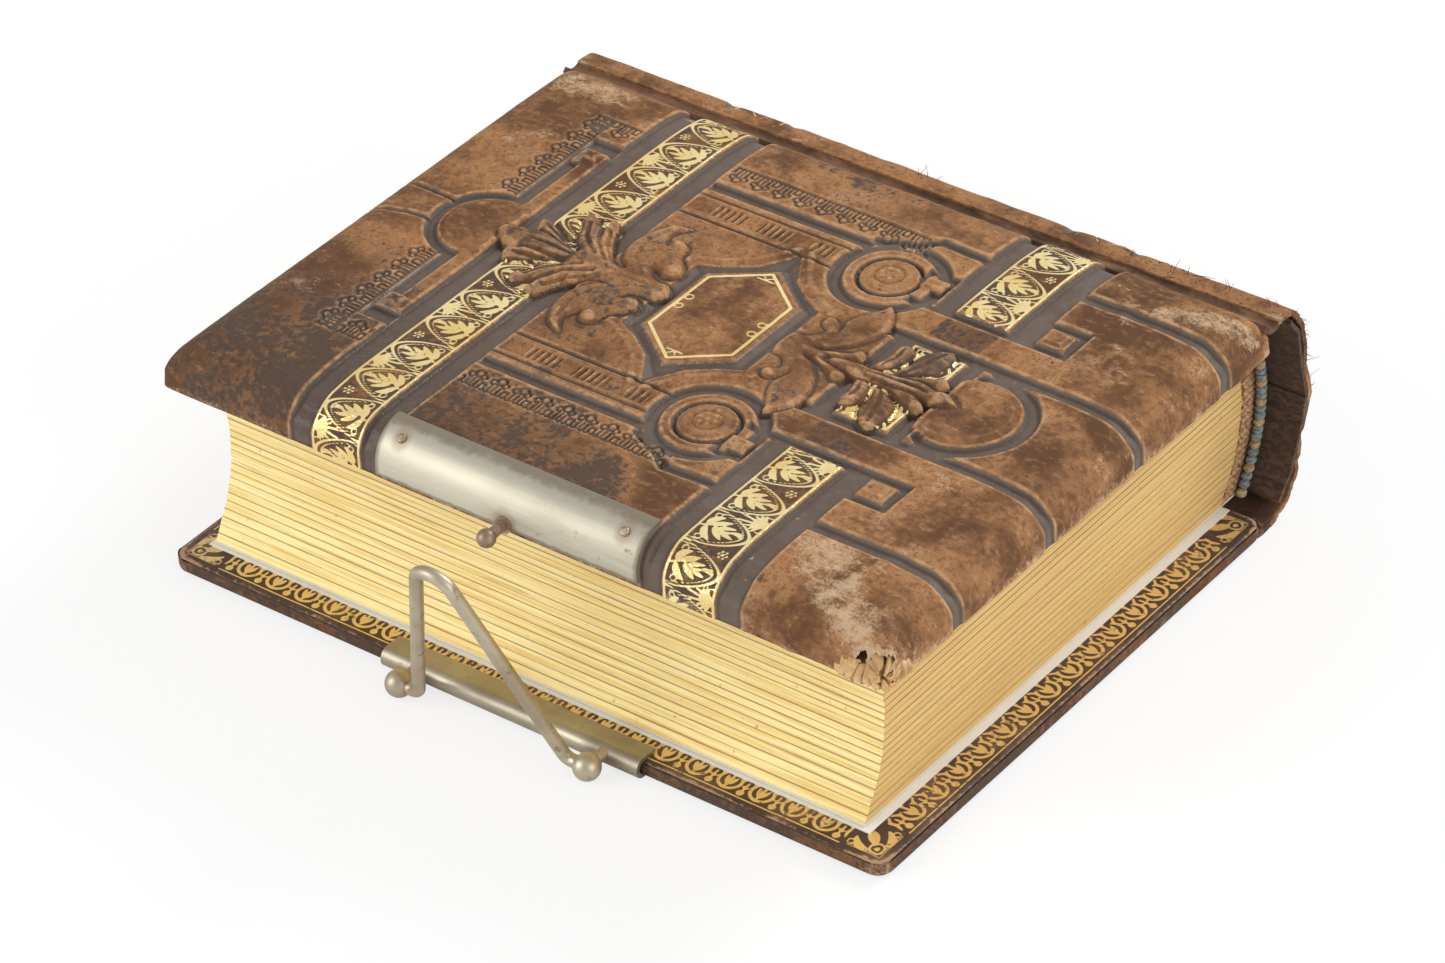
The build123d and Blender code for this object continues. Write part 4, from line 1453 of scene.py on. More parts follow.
# ---------------------------------------------------------------- front cover
@dataclass
class FrontCover:
    """Padded front cover: embossed leather, its folded edge, joint strip and worn corner."""

    shelf: FinishShelf
    half_length: float = 75.0
    fore_y: float = -54.0
    spine_y: float = 58.0
    under: float = 37.2
    crown: float = 46.2
    rim: float = 6.0
    corner: float = 6.5
    cell: float = 0.31
    pattern_shift: float = 2.4
    hinge_y: float = 60.0
    hinge_z: float = 41.75
    joint_half: float = 74.4
    left_cut: float = -28.7
    right_cut: float = 29.1
    sink: float = 1.3
    pattern: CoverPattern = field(default_factory=CoverPattern)

    @property
    def flat(self) -> float:
        """How far the flat top reaches out past the corner's centre."""
        return self.corner - self.rim

    @property
    def quarter(self) -> float:
        """Length of the leather round the rim."""
        return self.rim * math.pi / 2

    @property
    def skirt(self) -> float:
        """Length of the upright edge under the rim."""
        return self.crown - self.rim - self.under

    @property
    def end(self) -> float:
        """Length of the leather from the corner's centre to its lower edge."""
        return self.flat + self.quarter + self.skirt

    def wrap(self, u: Array, v: Array, lift: Array) -> Tuple[Array, Array, Array]:
        """Lay a flat sheet over the padded cover.

        Args:
            u: flat coordinate along the cover from its middle.
            v: flat coordinate across the cover from its middle.
            lift: height over the leather's plain surface.

        Returns:
            The points in millimetres, how far round the rim each lies, and the surface's slope angle.
        """
        a = self.half_length - self.corner
        b = (self.spine_y - self.fore_y) / 2 - self.corner
        mid = (self.spine_y + self.fore_y) / 2
        du = np.maximum(np.abs(u) - a, 0) * np.sign(u)
        dv = np.maximum(np.abs(v) - b, 0) * np.sign(v)
        s = np.hypot(du, dv)
        t = np.clip(s - self.flat, 0, self.quarter + self.skirt)
        angle = np.minimum(t / self.rim, math.pi / 2)
        reach = np.minimum(s, self.flat) + self.rim * np.sin(angle)
        drop = self.rim * (1 - np.cos(angle)) + np.maximum(t - self.quarter, 0)
        nu = np.where(s > 1e-9, du / np.maximum(s, 1e-9), 0)
        nv = np.where(s > 1e-9, dv / np.maximum(s, 1e-9), 0)
        power = 2.0 + 7.0 * (drop / (self.crown - self.under)) ** 1.3
        square = (np.abs(nu) ** power + np.abs(nv) ** power + 1e-12) ** (-1 / power)
        nu, nv = nu * square, nv * square
        out = reach + lift * np.sin(angle)
        x = np.clip(u, -a, a) + nu * out
        y = mid + np.clip(v, -b, b) + nv * out
        z = self.crown - drop + lift * np.cos(angle)
        return np.stack([x, y, z], axis=1), s, angle

    def make_field(self, name: str, u0: float, u1: float) -> Piece:
        """One part of the embossed leather between two lines.

        Args:
            name: the piece's name.
            u0: its left edge on the flat sheet.
            u1: its right edge.

        Returns:
            The piece.
        """
        end = self.end
        v_end = (self.spine_y - self.fore_y) / 2 - self.corner + end
        columns = round((u1 - u0) / self.cell)
        rows = round(2 * v_end / self.cell)
        piece = Bench.net(name, columns, rows)
        grid = Bench.points(piece)
        u = u0 + grid[:, 0] * (u1 - u0)
        v = -v_end + grid[:, 1] * 2 * v_end
        w = v - self.pattern_shift
        marks = self.pattern.draw(u, w)
        _, s, angle = self.wrap(u, v, np.zeros_like(u))
        calm = 1 - smooth(angle, 0.9, 1.5)
        drift = 0.16 * lumps(u, v, 26.0, 5) + 0.07 * lumps(u, v, 6.0, 9) + 0.035 * lumps(u, v, 1.6, 13)
        crease = np.exp(-((u - 60 + 0.55 * (v - 32)) / 1.5) ** 2) * smooth(v, 18, 30)
        crease += np.exp(-((u - 62 - 0.25 * (v + 40)) / 1.6) ** 2) * smooth(-v, 26, 38)
        drift += 0.25 * crease - 0.15 * smooth(np.abs(v), 44, 52)
        lift = marks["height"] * (0.25 + 0.75 * calm) + drift
        plate = overlap(u + 28.0, 28.0 - u, -v - 49.0)
        lift = np.where(plate > -0.4, np.minimum(lift, -0.05) * 0.2 - 0.12, lift)
        lift = lift - self.slump(u, v) * np.cos(angle)
        torn = self.torn(u, v)
        curl = smooth(torn, -2.4, 0.0)
        lift = lift + 1.0 * curl * (0.5 + 0.5 * lumps(u, v, 1.8, 71))
        where, s, angle = self.wrap(u, v, lift)
        Bench.move_points(piece, where * MM)
        wear = 0.16 * smooth(angle, 0.25, 1.2) + 0.24 * lumps(u, v, 17.0, 21) + 0.12
        wear += 0.14 * smooth(marks["height"], 0.15, 0.9) + 0.45 * smooth(marks["height"], 1.55, 2.3)
        wear += 0.4 * crease + self.rubbed(u, v) + 0.45 * smooth(s, end - 1.8, end - 0.3)
        # edge: the relief's height above its evened surroundings, from which the leather paints shade into
        # the hollows and highlights onto the raised tops
        even = Bench.averaged(marks["height"], (rows + 1, columns + 1), 9)
        Bench.store(piece, "edge", np.clip((marks["height"] - even) * 2.3, -1, 1))
        Bench.store(piece, "groove", marks["groove"])
        Bench.store(piece, "gilt", marks["gilt"])
        Bench.store(piece, "wear", np.clip(wear + 0.5 * curl, 0, 1.2))
        # Soiling, and painted shade at the left front corner and round the leaf work
        Bench.store(piece, "soil", np.clip(self.dirt_and_shade_marks(u, v, marks["leaf"]), 0, 0.78))
        Bench.drop_points(piece, (s > end + self.cell) | (torn > 0))
        Bench.soften(piece, 60.0)
        self.shelf.put(piece, Kind.COVER)
        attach(piece, "front_cover")
        return piece

    @staticmethod
    def rubbed(u: Array, v: Array) -> Array:
        """Scuffs of the cover, and the rubbing round its worn corner.

        Args:
            u: flat coordinate along the cover.
            v: flat coordinate across the cover.

        Returns:
            How much each point is rubbed.
        """
        rubs = Drawing(u, v)
        wear = 0.35 * smooth(np.hypot(u - 73, v + 54), 15, 5)
        for points, width, much in (
            ([(-71.0, 20.0), (-63.0, 30.0), (-55.0, 37.0)], 2.0, 0.45),
            ([(-74.0, 50.0), (-66.0, 47.0), (-58.0, 48.5)], 6.0, 0.6),
            ([(56.0, 41.0), (66.0, 46.5), (76.0, 50.0)], 4.0, 0.8),
            ([(51.0, -40.0), (58.0, -46.0), (66.0, -52.0)], 7.5, 0.6),
            ([(53.0, -13.0), (60.0, -16.0)], 3.0, 0.5),
            ([(-70.0, -30.0), (-60.0, -26.0)], 5.0, 0.4),
            ([(-20.0, -36.0), (10.0, -33.0)], 4.0, 0.25),
        ):
            wear += much * smooth(rubs.stroke(points, width), -3.2, 1.5)
        return wear

    def dirt_and_shade_marks(self, u: Array, v: Array, leaf: Array) -> Array:
        """Darkening of the cover: soiling in patches, the dark grounds of the gilt bands, and painted shade
        at its left front corner and round its leaf work.

        Args:
            u: flat coordinate along the cover.
            v: flat coordinate across the cover.
            leaf: distance inside the raised leaf work.

        Returns:
            How much each point is darkened, by soiling and painted shade.
        """
        # Painted shade: darker towards the left front corner and along the fore side of the head half, with
        # large random soiling patches
        soil = 0.62 * smooth(np.hypot((u + 60) * 0.75, v + 50), 44, 4)
        soil += 0.5 * smooth(-v, 4, 46) * smooth(-u, -34, 6)
        soil += 0.14 * smooth(-v, -10, 30) * smooth(-u, -24, 14) + 0.24 * lumps(u, v, 24.0, 33)
        soil += 0.3 * lumps(u, v, 7.0, 37) * smooth(soil, 0.2, 0.6)
        # Painted shade on the ground round the left leaf spray
        soil += 0.42 * smooth(leaf, -7.0, -0.6) * (leaf < 0) * smooth(-u, 8, 14) * smooth(u, -31, -27)
        # Darker towards the fore and spine edges, in random patches, and on the raised leaves
        soil += 0.3 * smooth(np.abs(v), 45, 52) + 0.25 * smooth(lumps(u, v, 9.0, 35), 0.3, 0.6)
        soil += 0.30 * smooth(leaf, 0.0, 0.8)
        for centre in (self.pattern.band_left, self.pattern.band_right):
            soil += 0.75 * smooth(5.3 - np.abs(u - centre), -0.2, 0.2)
        return soil - 0.35 * smooth(u, 43, 52)

    def slump(self, u: Array, v: Array) -> Array:
        """How far the padded cover sinks towards its edges, except under the catch plate.

        Args:
            u: flat coordinate along the cover.
            v: flat coordinate across the cover.

        Returns:
            The depth in millimetres.
        """
        half_width = (self.spine_y - self.fore_y) / 2
        edge = np.minimum(self.half_length - np.abs(u), half_width - np.abs(v))
        plate = (1 - smooth(np.abs(u), 28.5, 37.0)) * smooth(-v, 30.0, 42.0)
        return self.sink * (1 - smooth(edge, -2.0, 19.0)) ** 2 * (1 - plate)

    @staticmethod
    def torn(u: Array, v: Array) -> Array:
        """Distance inside the patch where the leather is worn away."""
        centre = np.hypot((u - 76.6) * 0.8, v + 58.0)
        return 4.0 - centre + 2.2 * lumps(u, v, 2.4, 51)

    def make_fold(self) -> Piece:
        """Leather folded over the board's inside, with its gilt border.

        Returns:
            The piece.
        """
        border = Border(self.shelf, self.half_length, self.fore_y, self.spine_y, self.corner)
        piece = border.make("front_turn_in", self.under, False)
        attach(piece, "front_cover")
        return piece

    def make_joint(self) -> Piece:
        """Strip of leather from the cover to the spine.

        Returns:
            The piece.
        """
        corners = ((-self.joint_half, self.spine_y - 1.6), (self.joint_half, self.hinge_y + 0.2))
        piece = joint_strip(
            "front_joint_leather", (220, 14), corners,
            lambda x, y, share: (self.hinge_z + 0.25 - 0.5 * np.sin(share * math.pi)
                                 + 0.14 * lumps(x, y, 7.0, 3) + 0.9 * (1 - share) ** 3),
            1.1, self.shelf)
        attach(piece, "front_cover")
        return piece

    @staticmethod
    def finish_shred(piece: Piece, where: Array, thickness: float) -> Piece:
        """Place and thicken one shred of leather.

        Args:
            piece: its flat net.
            where: its points in millimetres.
            thickness: in millimetres.

        Returns:
            The piece.
        """
        Bench.move_points(piece, where * MM)
        Bench.modify(piece, "SOLIDIFY", thickness=thickness * MM, offset=0.0)
        Bench.soften(piece, 60.0)
        return piece

    def make_flaps(self) -> Piece:
        """Curled tongues of leather about the worn corner.

        Returns:
            The piece.
        """
        rng = np.random.default_rng(8)
        tongues = []
        for index in range(9):
            piece = Bench.net(f"tongue_{index}", 6, 10)
            grid = Bench.points(piece)
            at = -0.35 + index * 0.24
            base = np.array([68.9, -48.2, 39.6])
            way = np.array([math.sin(at), -math.cos(at), 0.0])
            side = np.array([math.cos(at), math.sin(at), 0.0])
            length = rng.uniform(1.8, 3.6)
            width = rng.uniform(1.0, 1.9)
            droop = rng.uniform(0.6, 1.5)
            s, c = grid[:, 1], grid[:, 0] - 0.5
            taper = 1 - 0.7 * s ** 1.6
            out = 5.3 + 1.3 * np.sin(s * 2.2) + 0.35 * np.sin(c * 7)
            z = base[2] - 1.8 + length * (1 - s) - 0.6 * np.sin(s * droop * 3)
            where = base + way * out[:, None] + side * (c * width * taper * 2)[:, None]
            where[:, 2] = z + 0.5 * c
            tongues.append(self.finish_shred(piece, where, 0.45))
        for index in range(16):
            piece = Bench.net(f"shred_{index}", 5, 9)
            grid = Bench.points(piece)
            at = index * 0.42 + rng.normal(0, 0.15)
            s, c = grid[:, 1], grid[:, 0] - 0.5
            far = rng.uniform(3.2, 4.4) - s * rng.uniform(2.2, 3.4)
            across = c * rng.uniform(1.4, 2.6) * (1 - 0.75 * s ** 1.4)
            u = 76.0 + far * math.cos(at) - across * math.sin(at)
            v = -57.4 + far * math.sin(at) + across * math.cos(at)
            lift = -0.5 + rng.uniform(0.5, 1.5) * np.sin(s * rng.uniform(1.6, 3.0)) + 0.5 * c
            where, _, _ = self.wrap(u, v, lift - 0.3 * self.slump(u, v))
            tongues.append(self.finish_shred(piece, where, 0.3))
        piece = Bench.join("corner_tongues", tongues)
        self.shelf.put(piece, Kind.RAW)
        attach(piece, "front_cover")
        return piece

    def make_wadding(self) -> Piece:
        """Fibrous wadding under the leather, seen through the worn corner.

        Returns:
            The piece.
        """
        a = self.half_length - self.corner
        b = (self.spine_y - self.fore_y) / 2 - self.corner
        most = self.flat + self.quarter * 0.86
        piece = Bench.net("front_wadding", 260, 210)
        grid = Bench.points(piece)
        u = (grid[:, 0] - 0.5) * 2 * (a + most)
        v = (grid[:, 1] - 0.5) * 2 * (b + most)
        tuft = 0.5 * lumps(u, v, 2.6, 95) + 0.35 * lumps(u, v, 1.2, 97)
        where, s, _ = self.wrap(u, v, tuft - 1.55 - self.slump(u, v))
        Bench.move_points(piece, where * MM)
        Bench.drop_points(piece, s > most + 0.3)
        Bench.modify(piece, "SOLIDIFY", thickness=1.6 * MM, offset=-1.0)
        Bench.soften(piece, 70.0)
        self.shelf.put(piece, Kind.WADDING)
        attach(piece, "front_cover")
        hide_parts("front_padding")
        return piece

    def build(self) -> List[Piece]:
        """Build the cover's visible pieces.

        Returns:
            The pieces.
        """
        reach = self.half_length - self.corner + self.end
        fields = [
            self.make_field("cover_leather_head", -reach, self.left_cut),
            self.make_field("cover_leather_middle", self.left_cut, self.right_cut),
            self.make_field("cover_leather_tail", self.right_cut, reach),
        ]
        for piece in fields:
            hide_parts("front_leather")
        pieces = fields + [self.make_fold(), self.make_joint(), self.make_flaps(),
                           self.make_wadding()]
        for node, kind in (("front_board", Kind.BOARD), ("front_infill", Kind.BOARD),
                           ("front_pastedown", Kind.PAPER)):
            self.shelf.put_on_node(node, kind)
        return pieces


# ---------------------------------------------------------------- gilt border of the turn-ins
@dataclass
class Border:
    """Folded leather round the inside of a cover, with its gilt border."""

    shelf: FinishShelf
    half_length: float
    fore_y: float
    spine_y: float
    corner: float
    width: float = 12.4
    cell: float = 0.31
    inset: float = 2.0
    motif: float = 6.4

    def gold(self, run: Array, depth: Array, to_corner: Array) -> Array:
        """Gold of the border: a line, repeated cups with drops, and small crosses.

        Args:
            run: distance along the side.
            depth: distance in from the rim.
            to_corner: distance to the nearest corner, along the side.

        Returns:
            Distance inside the gold.
        """
        s = np.mod(run, self.motif) - self.motif / 2
        d = Drawing(np.abs(s), depth - self.inset)
        cup = union(
            overlap(d.ring(0.0, 2.5, 2.05, 0.62), -d.box(-9, 9, 3.9, 9)),
            d.stroke([(1.9, 3.0), (2.2, 3.9), (2.8, 4.4)], 0.5),
            d.stroke([(0.0, 1.0), (0.0, 4.2)], 0.5),
            d.leaf((0.0, 1.3), (0.7, 2.4), (0.95, 3.6), 0.42),
            d.disc(0.0, 4.5, 0.4),
            d.ring(self.motif / 2, 0.7, 0.5, 0.42),
            d.stroke([(self.motif / 2, 0.2), (self.motif / 2, 3.4)], 0.42),
            d.stroke([(self.motif / 2 - 0.6, 2.3), (self.motif / 2, 1.9)], 0.36),
        )
        cup = np.where(to_corner > 9.5, cup, -1.0)
        line = 0.14 - np.abs(depth - self.inset + 0.45)
        return union(cup, np.where(to_corner > 1.5, line, -1.0))

    def corner_gold(self, du: Array, dv: Array) -> Array:
        """Gold of a corner: leaves that spread from its point.

        Args:
            du: distance in from the head or tail edge.
            dv: distance in from the fore edge or the spine side.

        Returns:
            Distance inside the gold.
        """
        d = Drawing(du - self.inset, dv - self.inset)
        return union(
            d.ring(1.6, 1.6, 1.2, 0.4), d.disc(1.6, 1.6, 0.5),
            d.leaf((0.4, 2.8), (0.2, 5.0), (2.6, 6.2), 0.7),
            d.leaf((2.8, 0.4), (5.0, 0.2), (6.2, 2.6), 0.7),
            d.leaf((2.4, 2.4), (3.4, 4.6), (5.0, 4.8), 0.6),
            d.leaf((2.4, 2.4), (4.6, 3.4), (4.8, 5.0), 0.6),
            d.stroke([(0.2, 0.0), (6.5, 0.0)], 0.3), d.stroke([(0.0, 0.2), (0.0, 6.5)], 0.3),
            d.ring(6.2, 0.9, 0.6, 0.3), d.ring(0.9, 6.2, 0.6, 0.3),
        )

    def make(self, name: str, level: float, upwards: bool) -> Piece:
        """The folded leather as a ring of fine net.

        Args:
            name: the piece's name.
            level: height of its face.
            upwards: whether the face looks up.

        Returns:
            The piece.
        """
        length, breadth = 2 * self.half_length, self.spine_y - self.fore_y
        piece = Bench.net(name, round(length / self.cell), round(breadth / self.cell))
        grid = Bench.points(piece)
        x = -self.half_length + grid[:, 0] * length
        y = self.fore_y + grid[:, 1] * breadth
        du = self.half_length - np.abs(x)
        dv = np.minimum(y - self.fore_y, self.spine_y - y)
        depth = np.minimum(du, dv)
        on_side = du < dv
        run = np.where(on_side, y - (self.fore_y + self.spine_y) / 2, x) + 200 * self.motif
        gold = self.gold(run, depth, np.maximum(du, dv))
        near = (du < 9.5) & (dv < 9.5)
        gold = np.where(near, union(self.corner_gold(du, dv), -np.ones_like(gold)), gold)
        rim_gap = np.minimum(du, self.corner) - self.corner
        rim_gap_v = np.minimum(dv, self.corner) - self.corner
        edge = self.corner - np.hypot(rim_gap, rim_gap_v)
        fall = np.maximum(0.75 - edge, 0.0)
        sign = 1.0 if upwards else -1.0
        bow = 0.06 * lumps(x, y, 9.0, 15) + 0.04 * lumps(x, y, 2.4, 16)
        mitre = 0.22 * np.exp(-((du - dv) / 0.5) ** 2) * (depth < self.width)
        rise = 0.06 + bow - mitre - 0.03 * smooth(gold, -0.1, 0.1) - np.minimum(fall, 0.75) ** 2 * 0.9
        z = level + sign * rise
        Bench.move_points(piece, np.stack([x, y, z], axis=1) * MM)
        Bench.store(piece, "gilt", gold)
        Bench.store(piece, "wear", np.clip(0.75 * smooth(edge, 1.6, 0.1) + 0.25 * lumps(x, y, 9.0, 7)
                                           + 0.5 * smooth(np.maximum(du, dv), 8, 1), 0, 1.2))
        Bench.drop_points(piece, (depth > self.width) | (edge < 0.04))
        if not upwards:
            Bench.edit(piece, bpy.ops.mesh.flip_normals)
        Bench.soften(piece, 60.0)
        self.shelf.put(piece, Kind.BORDER)
        return piece


# ---------------------------------------------------------------- back cover
@dataclass
class BackCover:
    """Back cover: leather shell, gilt border and joint strip."""

    shelf: FinishShelf
    half_length: float = 75.0
    half_width: float = 56.0
    thickness: float = 3.0
    corner: float = 3.0
    hinge_y: float = 58.8
    joint_half: float = 74.4

    def make_shell(self) -> Piece:
        """Leather round the underside and the edges.

        Returns:
            The piece.
        """
        net = Bench.net("back_cover_leather", 250, 200)
        grid = Bench.points(net)
        u = (grid[:, 0] - 0.5) * 2 * (self.half_length + 2.3)
        v = (grid[:, 1] - 0.5) * 2 * (self.half_width + 2.3)
        a, b = self.half_length - self.corner, self.half_width - self.corner
        du = np.maximum(np.abs(u) - a, 0) * np.sign(u)
        dv = np.maximum(np.abs(v) - b, 0) * np.sign(v)
        s = np.hypot(du, dv)
        rim = 1.1
        flat = self.corner - rim
        t = np.clip(s - flat, 0, rim * math.pi / 2 + self.thickness - rim)
        angle = np.minimum(t / rim, math.pi / 2)
        reach = np.minimum(s, flat) + rim * np.sin(angle)
        rise = rim * (1 - np.cos(angle)) + np.maximum(t - rim * math.pi / 2, 0)
        nu = np.where(s > 1e-9, du / np.maximum(s, 1e-9), 0)
        nv = np.where(s > 1e-9, dv / np.maximum(s, 1e-9), 0)
        x = np.clip(u, -a, a) + nu * reach
        y = np.clip(v, -b, b) + nv * reach
        d = Drawing(np.abs(u), np.abs(v))
        frame = union(0.7 - np.abs(d.box(-99, 66.0, -99, 47.0)), 0.35 - np.abs(d.box(-99, 63.2, -99, 44.2)))
        z = rise + (0.3 * smooth(frame, -0.2, 0.4) + 0.05 + 0.05 * lumps(u, v, 14, 61)) * (s < flat)
        Bench.move_points(net, np.stack([x, y, z], axis=1) * MM)
        end = flat + rim * math.pi / 2 + self.thickness - rim
        wear = 0.12 * smooth(s, flat, flat + 1.6) + 0.25 * lumps(u, v, 18.0, 25) + 0.15
        wear += 0.45 * smooth(np.hypot(np.abs(u) - 75, np.abs(v) - 56), 8, 1)
        Bench.store(net, "groove", frame)
        Bench.store(net, "gilt", np.full(u.shape, -1.0))
        Bench.store(net, "wear", np.clip(wear, 0, 1.1))
        # Darker all over, more so round the rim, in random patches
        soil = 0.45 + 0.35 * smooth(s, flat, flat + 1.0) + 0.4 * lumps(u, v, 22.0, 29)
        Bench.store(net, "soil", np.clip(soil, 0, 1))
        Bench.drop_points(net, s > end + 0.62)
        Bench.edit(net, bpy.ops.mesh.flip_normals)
        Bench.soften(net, 60.0)
        self.shelf.put(net, Kind.COVER)
        return net

    def make_hinge(self) -> Piece:
        """Leather along the back joint, from the cover to inside the lower spine panel.

        Returns:
            The piece.
        """
        inner_y, outer_y = 56.3, 62.5
        piece = joint_strip(
            "back_hinge_leather", (200, 24), ((-74.0, inner_y), (74.0, outer_y)),
            lambda x, y, _: (1.62 + 0.10 * lumps(x, y, 6.0, 45)
                             + 0.85 * smooth(y, self.hinge_y, outer_y)),
            0.55, self.shelf)
        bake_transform(piece)
        return piece

    def build(self) -> List[Piece]:
        """Build the cover's visible pieces.

        Returns:
            The pieces.
        """
        shell = self.make_shell()
        border = Border(self.shelf, self.half_length, -self.half_width, self.half_width, self.corner)
        inside = border.make("back_turn_in", self.thickness, True)
        corners = ((-self.joint_half, self.half_width - 1.2), (self.joint_half, self.hinge_y + 0.1))
        joint = joint_strip(
            "back_joint_leather", (200, 10), corners,
            lambda x, y, share: 1.3 - 0.25 * np.sin(share * math.pi) + 0.12 * lumps(x, y, 8.0, 44),
            1.15, self.shelf)
        pieces = [shell, inside, joint]
        for piece in pieces:
            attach(piece, "back_cover")
        pieces.append(self.make_hinge())
        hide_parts("back_leather")
        for node, kind in (("back_board", Kind.BOARD), ("back_infill", Kind.BOARD),
                           ("back_pastedown", Kind.PAPER)):
            self.shelf.put_on_node(node, kind)
        return pieces


# ---------------------------------------------------------------- spine
@dataclass
class Spine:
    """Hollow spine: two leather panels that fold at a worn crease."""

    shelf: FinishShelf
    half_length: float = 74.5
    thickness: float = 1.05
    lower: Sequence[Point2] = ((58.8, 0.0), (62.1, 1.0), (65.0, 3.4), (67.2, 7.2), (68.5, 14.2),
                               (71.11, 21.29))
    upper: Sequence[Point2] = ((71.11, 21.29), (69.5, 28.4), (68.9, 33.6), (67.8, 37.6), (64.6, 41.6),
                               (60.0, 42.3))
    bands: Sequence[float] = (-36.3, 36.6)
    line_gap: float = 6.6
    height: float = 22.0

    @staticmethod
    def along(points: Sequence[Point2], share: Array) -> Tuple[Array, Array]:
        """Points along a smooth line.

        Args:
            points: what the line runs through.
            share: 0 at its start, 1 at its end.

        Returns:
            Y and Z of each point.
        """
        p = np.array([points[0], *points, points[-1]], dtype=float)
        n = len(points) - 1
        s = np.clip(share * n, 0, n - 1e-6)
        i = np.floor(s).astype(int)
        t = (s - i)[:, None]
        p0, p1, p2, p3 = p[i], p[i + 1], p[i + 2], p[np.minimum(i + 3, len(p) - 1)]
        out = 0.5 * (2 * p1 + (p2 - p0) * t + (2 * p0 - 5 * p1 + 4 * p2 - p3) * t ** 2
                     + (3 * p1 - p0 - 3 * p2 + p3) * t ** 3)
        return out[:, 0], out[:, 1]

    def make_panel(self, name: str, body: str, points: Sequence[Point2], crease_at_end: bool) -> Piece:
        """One leather panel.

        Args:
            name: the piece's name.
            body: the body it rides on.
            points: its outer section.
            crease_at_end: whether the crease is at the section's end.

        Returns:
            The piece.
        """
        piece = Bench.net(name, 260, 60)
        grid = Bench.points(piece)
        share = grid[:, 1]
        y, z = self.along(points, share)
        flat_x = -self.half_length + grid[:, 0] * 2 * self.half_length
        up = share * self.height
        near = share if crease_at_end else 1 - share
        held = smooth(np.minimum(share, 1 - share), 0.0, 0.12)
        end = self.half_length - np.abs(flat_x)
        wave = held * (0.25 * lumps(flat_x, up, 16.0, 81) + 0.1 * lumps(flat_x, up, 4.0, 83))
        ragged = smooth(end, 4.0, 0.0) * 0.5 * lumps(flat_x * 0.2, share * 30, 2.2, 85)
        x = flat_x - np.sign(flat_x) * np.maximum(ragged, 0) * (0.4 + held)
        offsets = [flat_x - at - side for at in self.bands for side in (-self.line_gap, self.line_gap)]
        cord = np.maximum.reduce([np.exp(-(offset / 1.2) ** 2) for offset in offsets])
        y = y + wave - 0.5 * cord * held
        z = z + 0.4 * wave * held
        Bench.move_points(piece, np.stack([x, y, z], axis=1) * MM)
        lines = [1.1 - np.abs(offset) for offset in offsets]
        gilt = [0.2 - np.abs(np.abs(flat_x - at) - 4.9) for at in self.bands]
        step = np.abs(np.mod(up + 2.2, 4.4) - 2.2) * 1.1
        diamonds = [0.22 - np.abs(np.abs(flat_x - at) + step - 2.2) for at in self.bands]
        worn_off = 0.9 * lumps(flat_x, up, 3.0, 93, 4) - 1.6 * smooth(1 - near, 0.80, 0.92)
        kept = overlap(union(*gilt, *diamonds), (held - 0.5) * 4, (0.32 - np.abs(near - 0.45)) * 9)
        Bench.store(piece, "groove", union(*lines) + worn_off)
        Bench.store(piece, "gilt", kept)
        wear = 0.5 * smooth(near, 0.90, 1.0) + 0.3 * smooth(end, 6, 0.5) + 0.32 * lumps(x, up, 15.0, 87)
        wear += 0.25 * smooth(1 - near, 0.9, 1.0) + 0.3 * smooth(near, 0.8, 1.0) * lumps(x, near, 6.0, 91)
        Bench.store(piece, "wear", np.clip(wear, 0, 1.2))
        Bench.store(piece, "soil", np.clip(0.1 + 0.35 * lumps(x, up, 20.0, 89), 0, 1))
        Bench.edit(piece, bpy.ops.mesh.flip_normals)
        Bench.modify(piece, "SOLIDIFY", thickness=self.thickness * MM, offset=-1.0)
        Bench.soften(piece, 50.0)
        self.shelf.put(piece, Kind.COVER)
        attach(piece, body)
        return piece

    def make_fibres(self) -> Piece:
        """Loose fibres along the front joint and the spine's torn tail end.

        Returns:
            The piece.
        """
        rng = np.random.default_rng(4)
        strands = []
        for index in range(150):
            if index < 95:
                cluster = (38.0, 47.0, 58.0, 66.0, -8.0)[index % 5]
                root = np.array([cluster + rng.normal(0, 4.5), rng.uniform(60.4, 64.0), 42.0])
                root[0] = min(root[0], 73.5)
                way = np.array([rng.normal(0, 1.0), rng.normal(0.3, 0.7), rng.uniform(0.15, 0.8)])
            else:
                share = rng.uniform(0.05, 0.98, 1)
                y, z = self.along(self.upper, share)
                root = np.array([74.2, y[0] - 0.5, z[0] - 0.3])
                way = np.array([rng.uniform(0.3, 1.0), rng.normal(0, 0.6), rng.normal(0, 0.5)])
            way /= np.linalg.norm(way)
            length = rng.uniform(0.4, 1.3) if index % 11 else rng.uniform(1.4, 2.4)
            side = np.cross(way, [0.3, 0.5, 0.8])
            side /= np.linalg.norm(side)
            other = np.cross(way, side)
            curl = rng.normal(0, 0.9, 3)
            Bench.clear()
            bpy.ops.mesh.primitive_cone_add(vertices=4, radius1=0.09 * MM, radius2=0.03 * MM, depth=1.0 * MM)
            strand = bpy.context.object
            Bench.edit(strand, bpy.ops.mesh.subdivide, number_cuts=2)
            local = Bench.points(strand) / MM
            t = local[:, 2] + 0.5
            bend = (t ** 2)[:, None] * curl * length * 0.6
            where = root + way * (t * length)[:, None] + side * local[:, 0:1] + other * local[:, 1:2] + bend
            Bench.move_points(strand, where * MM)
            strands.append(strand)
        piece = Bench.join("loose_fibres", strands)
        self.shelf.put(piece, Kind.PLAIN)
        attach(piece, "spine_upper")
        return piece

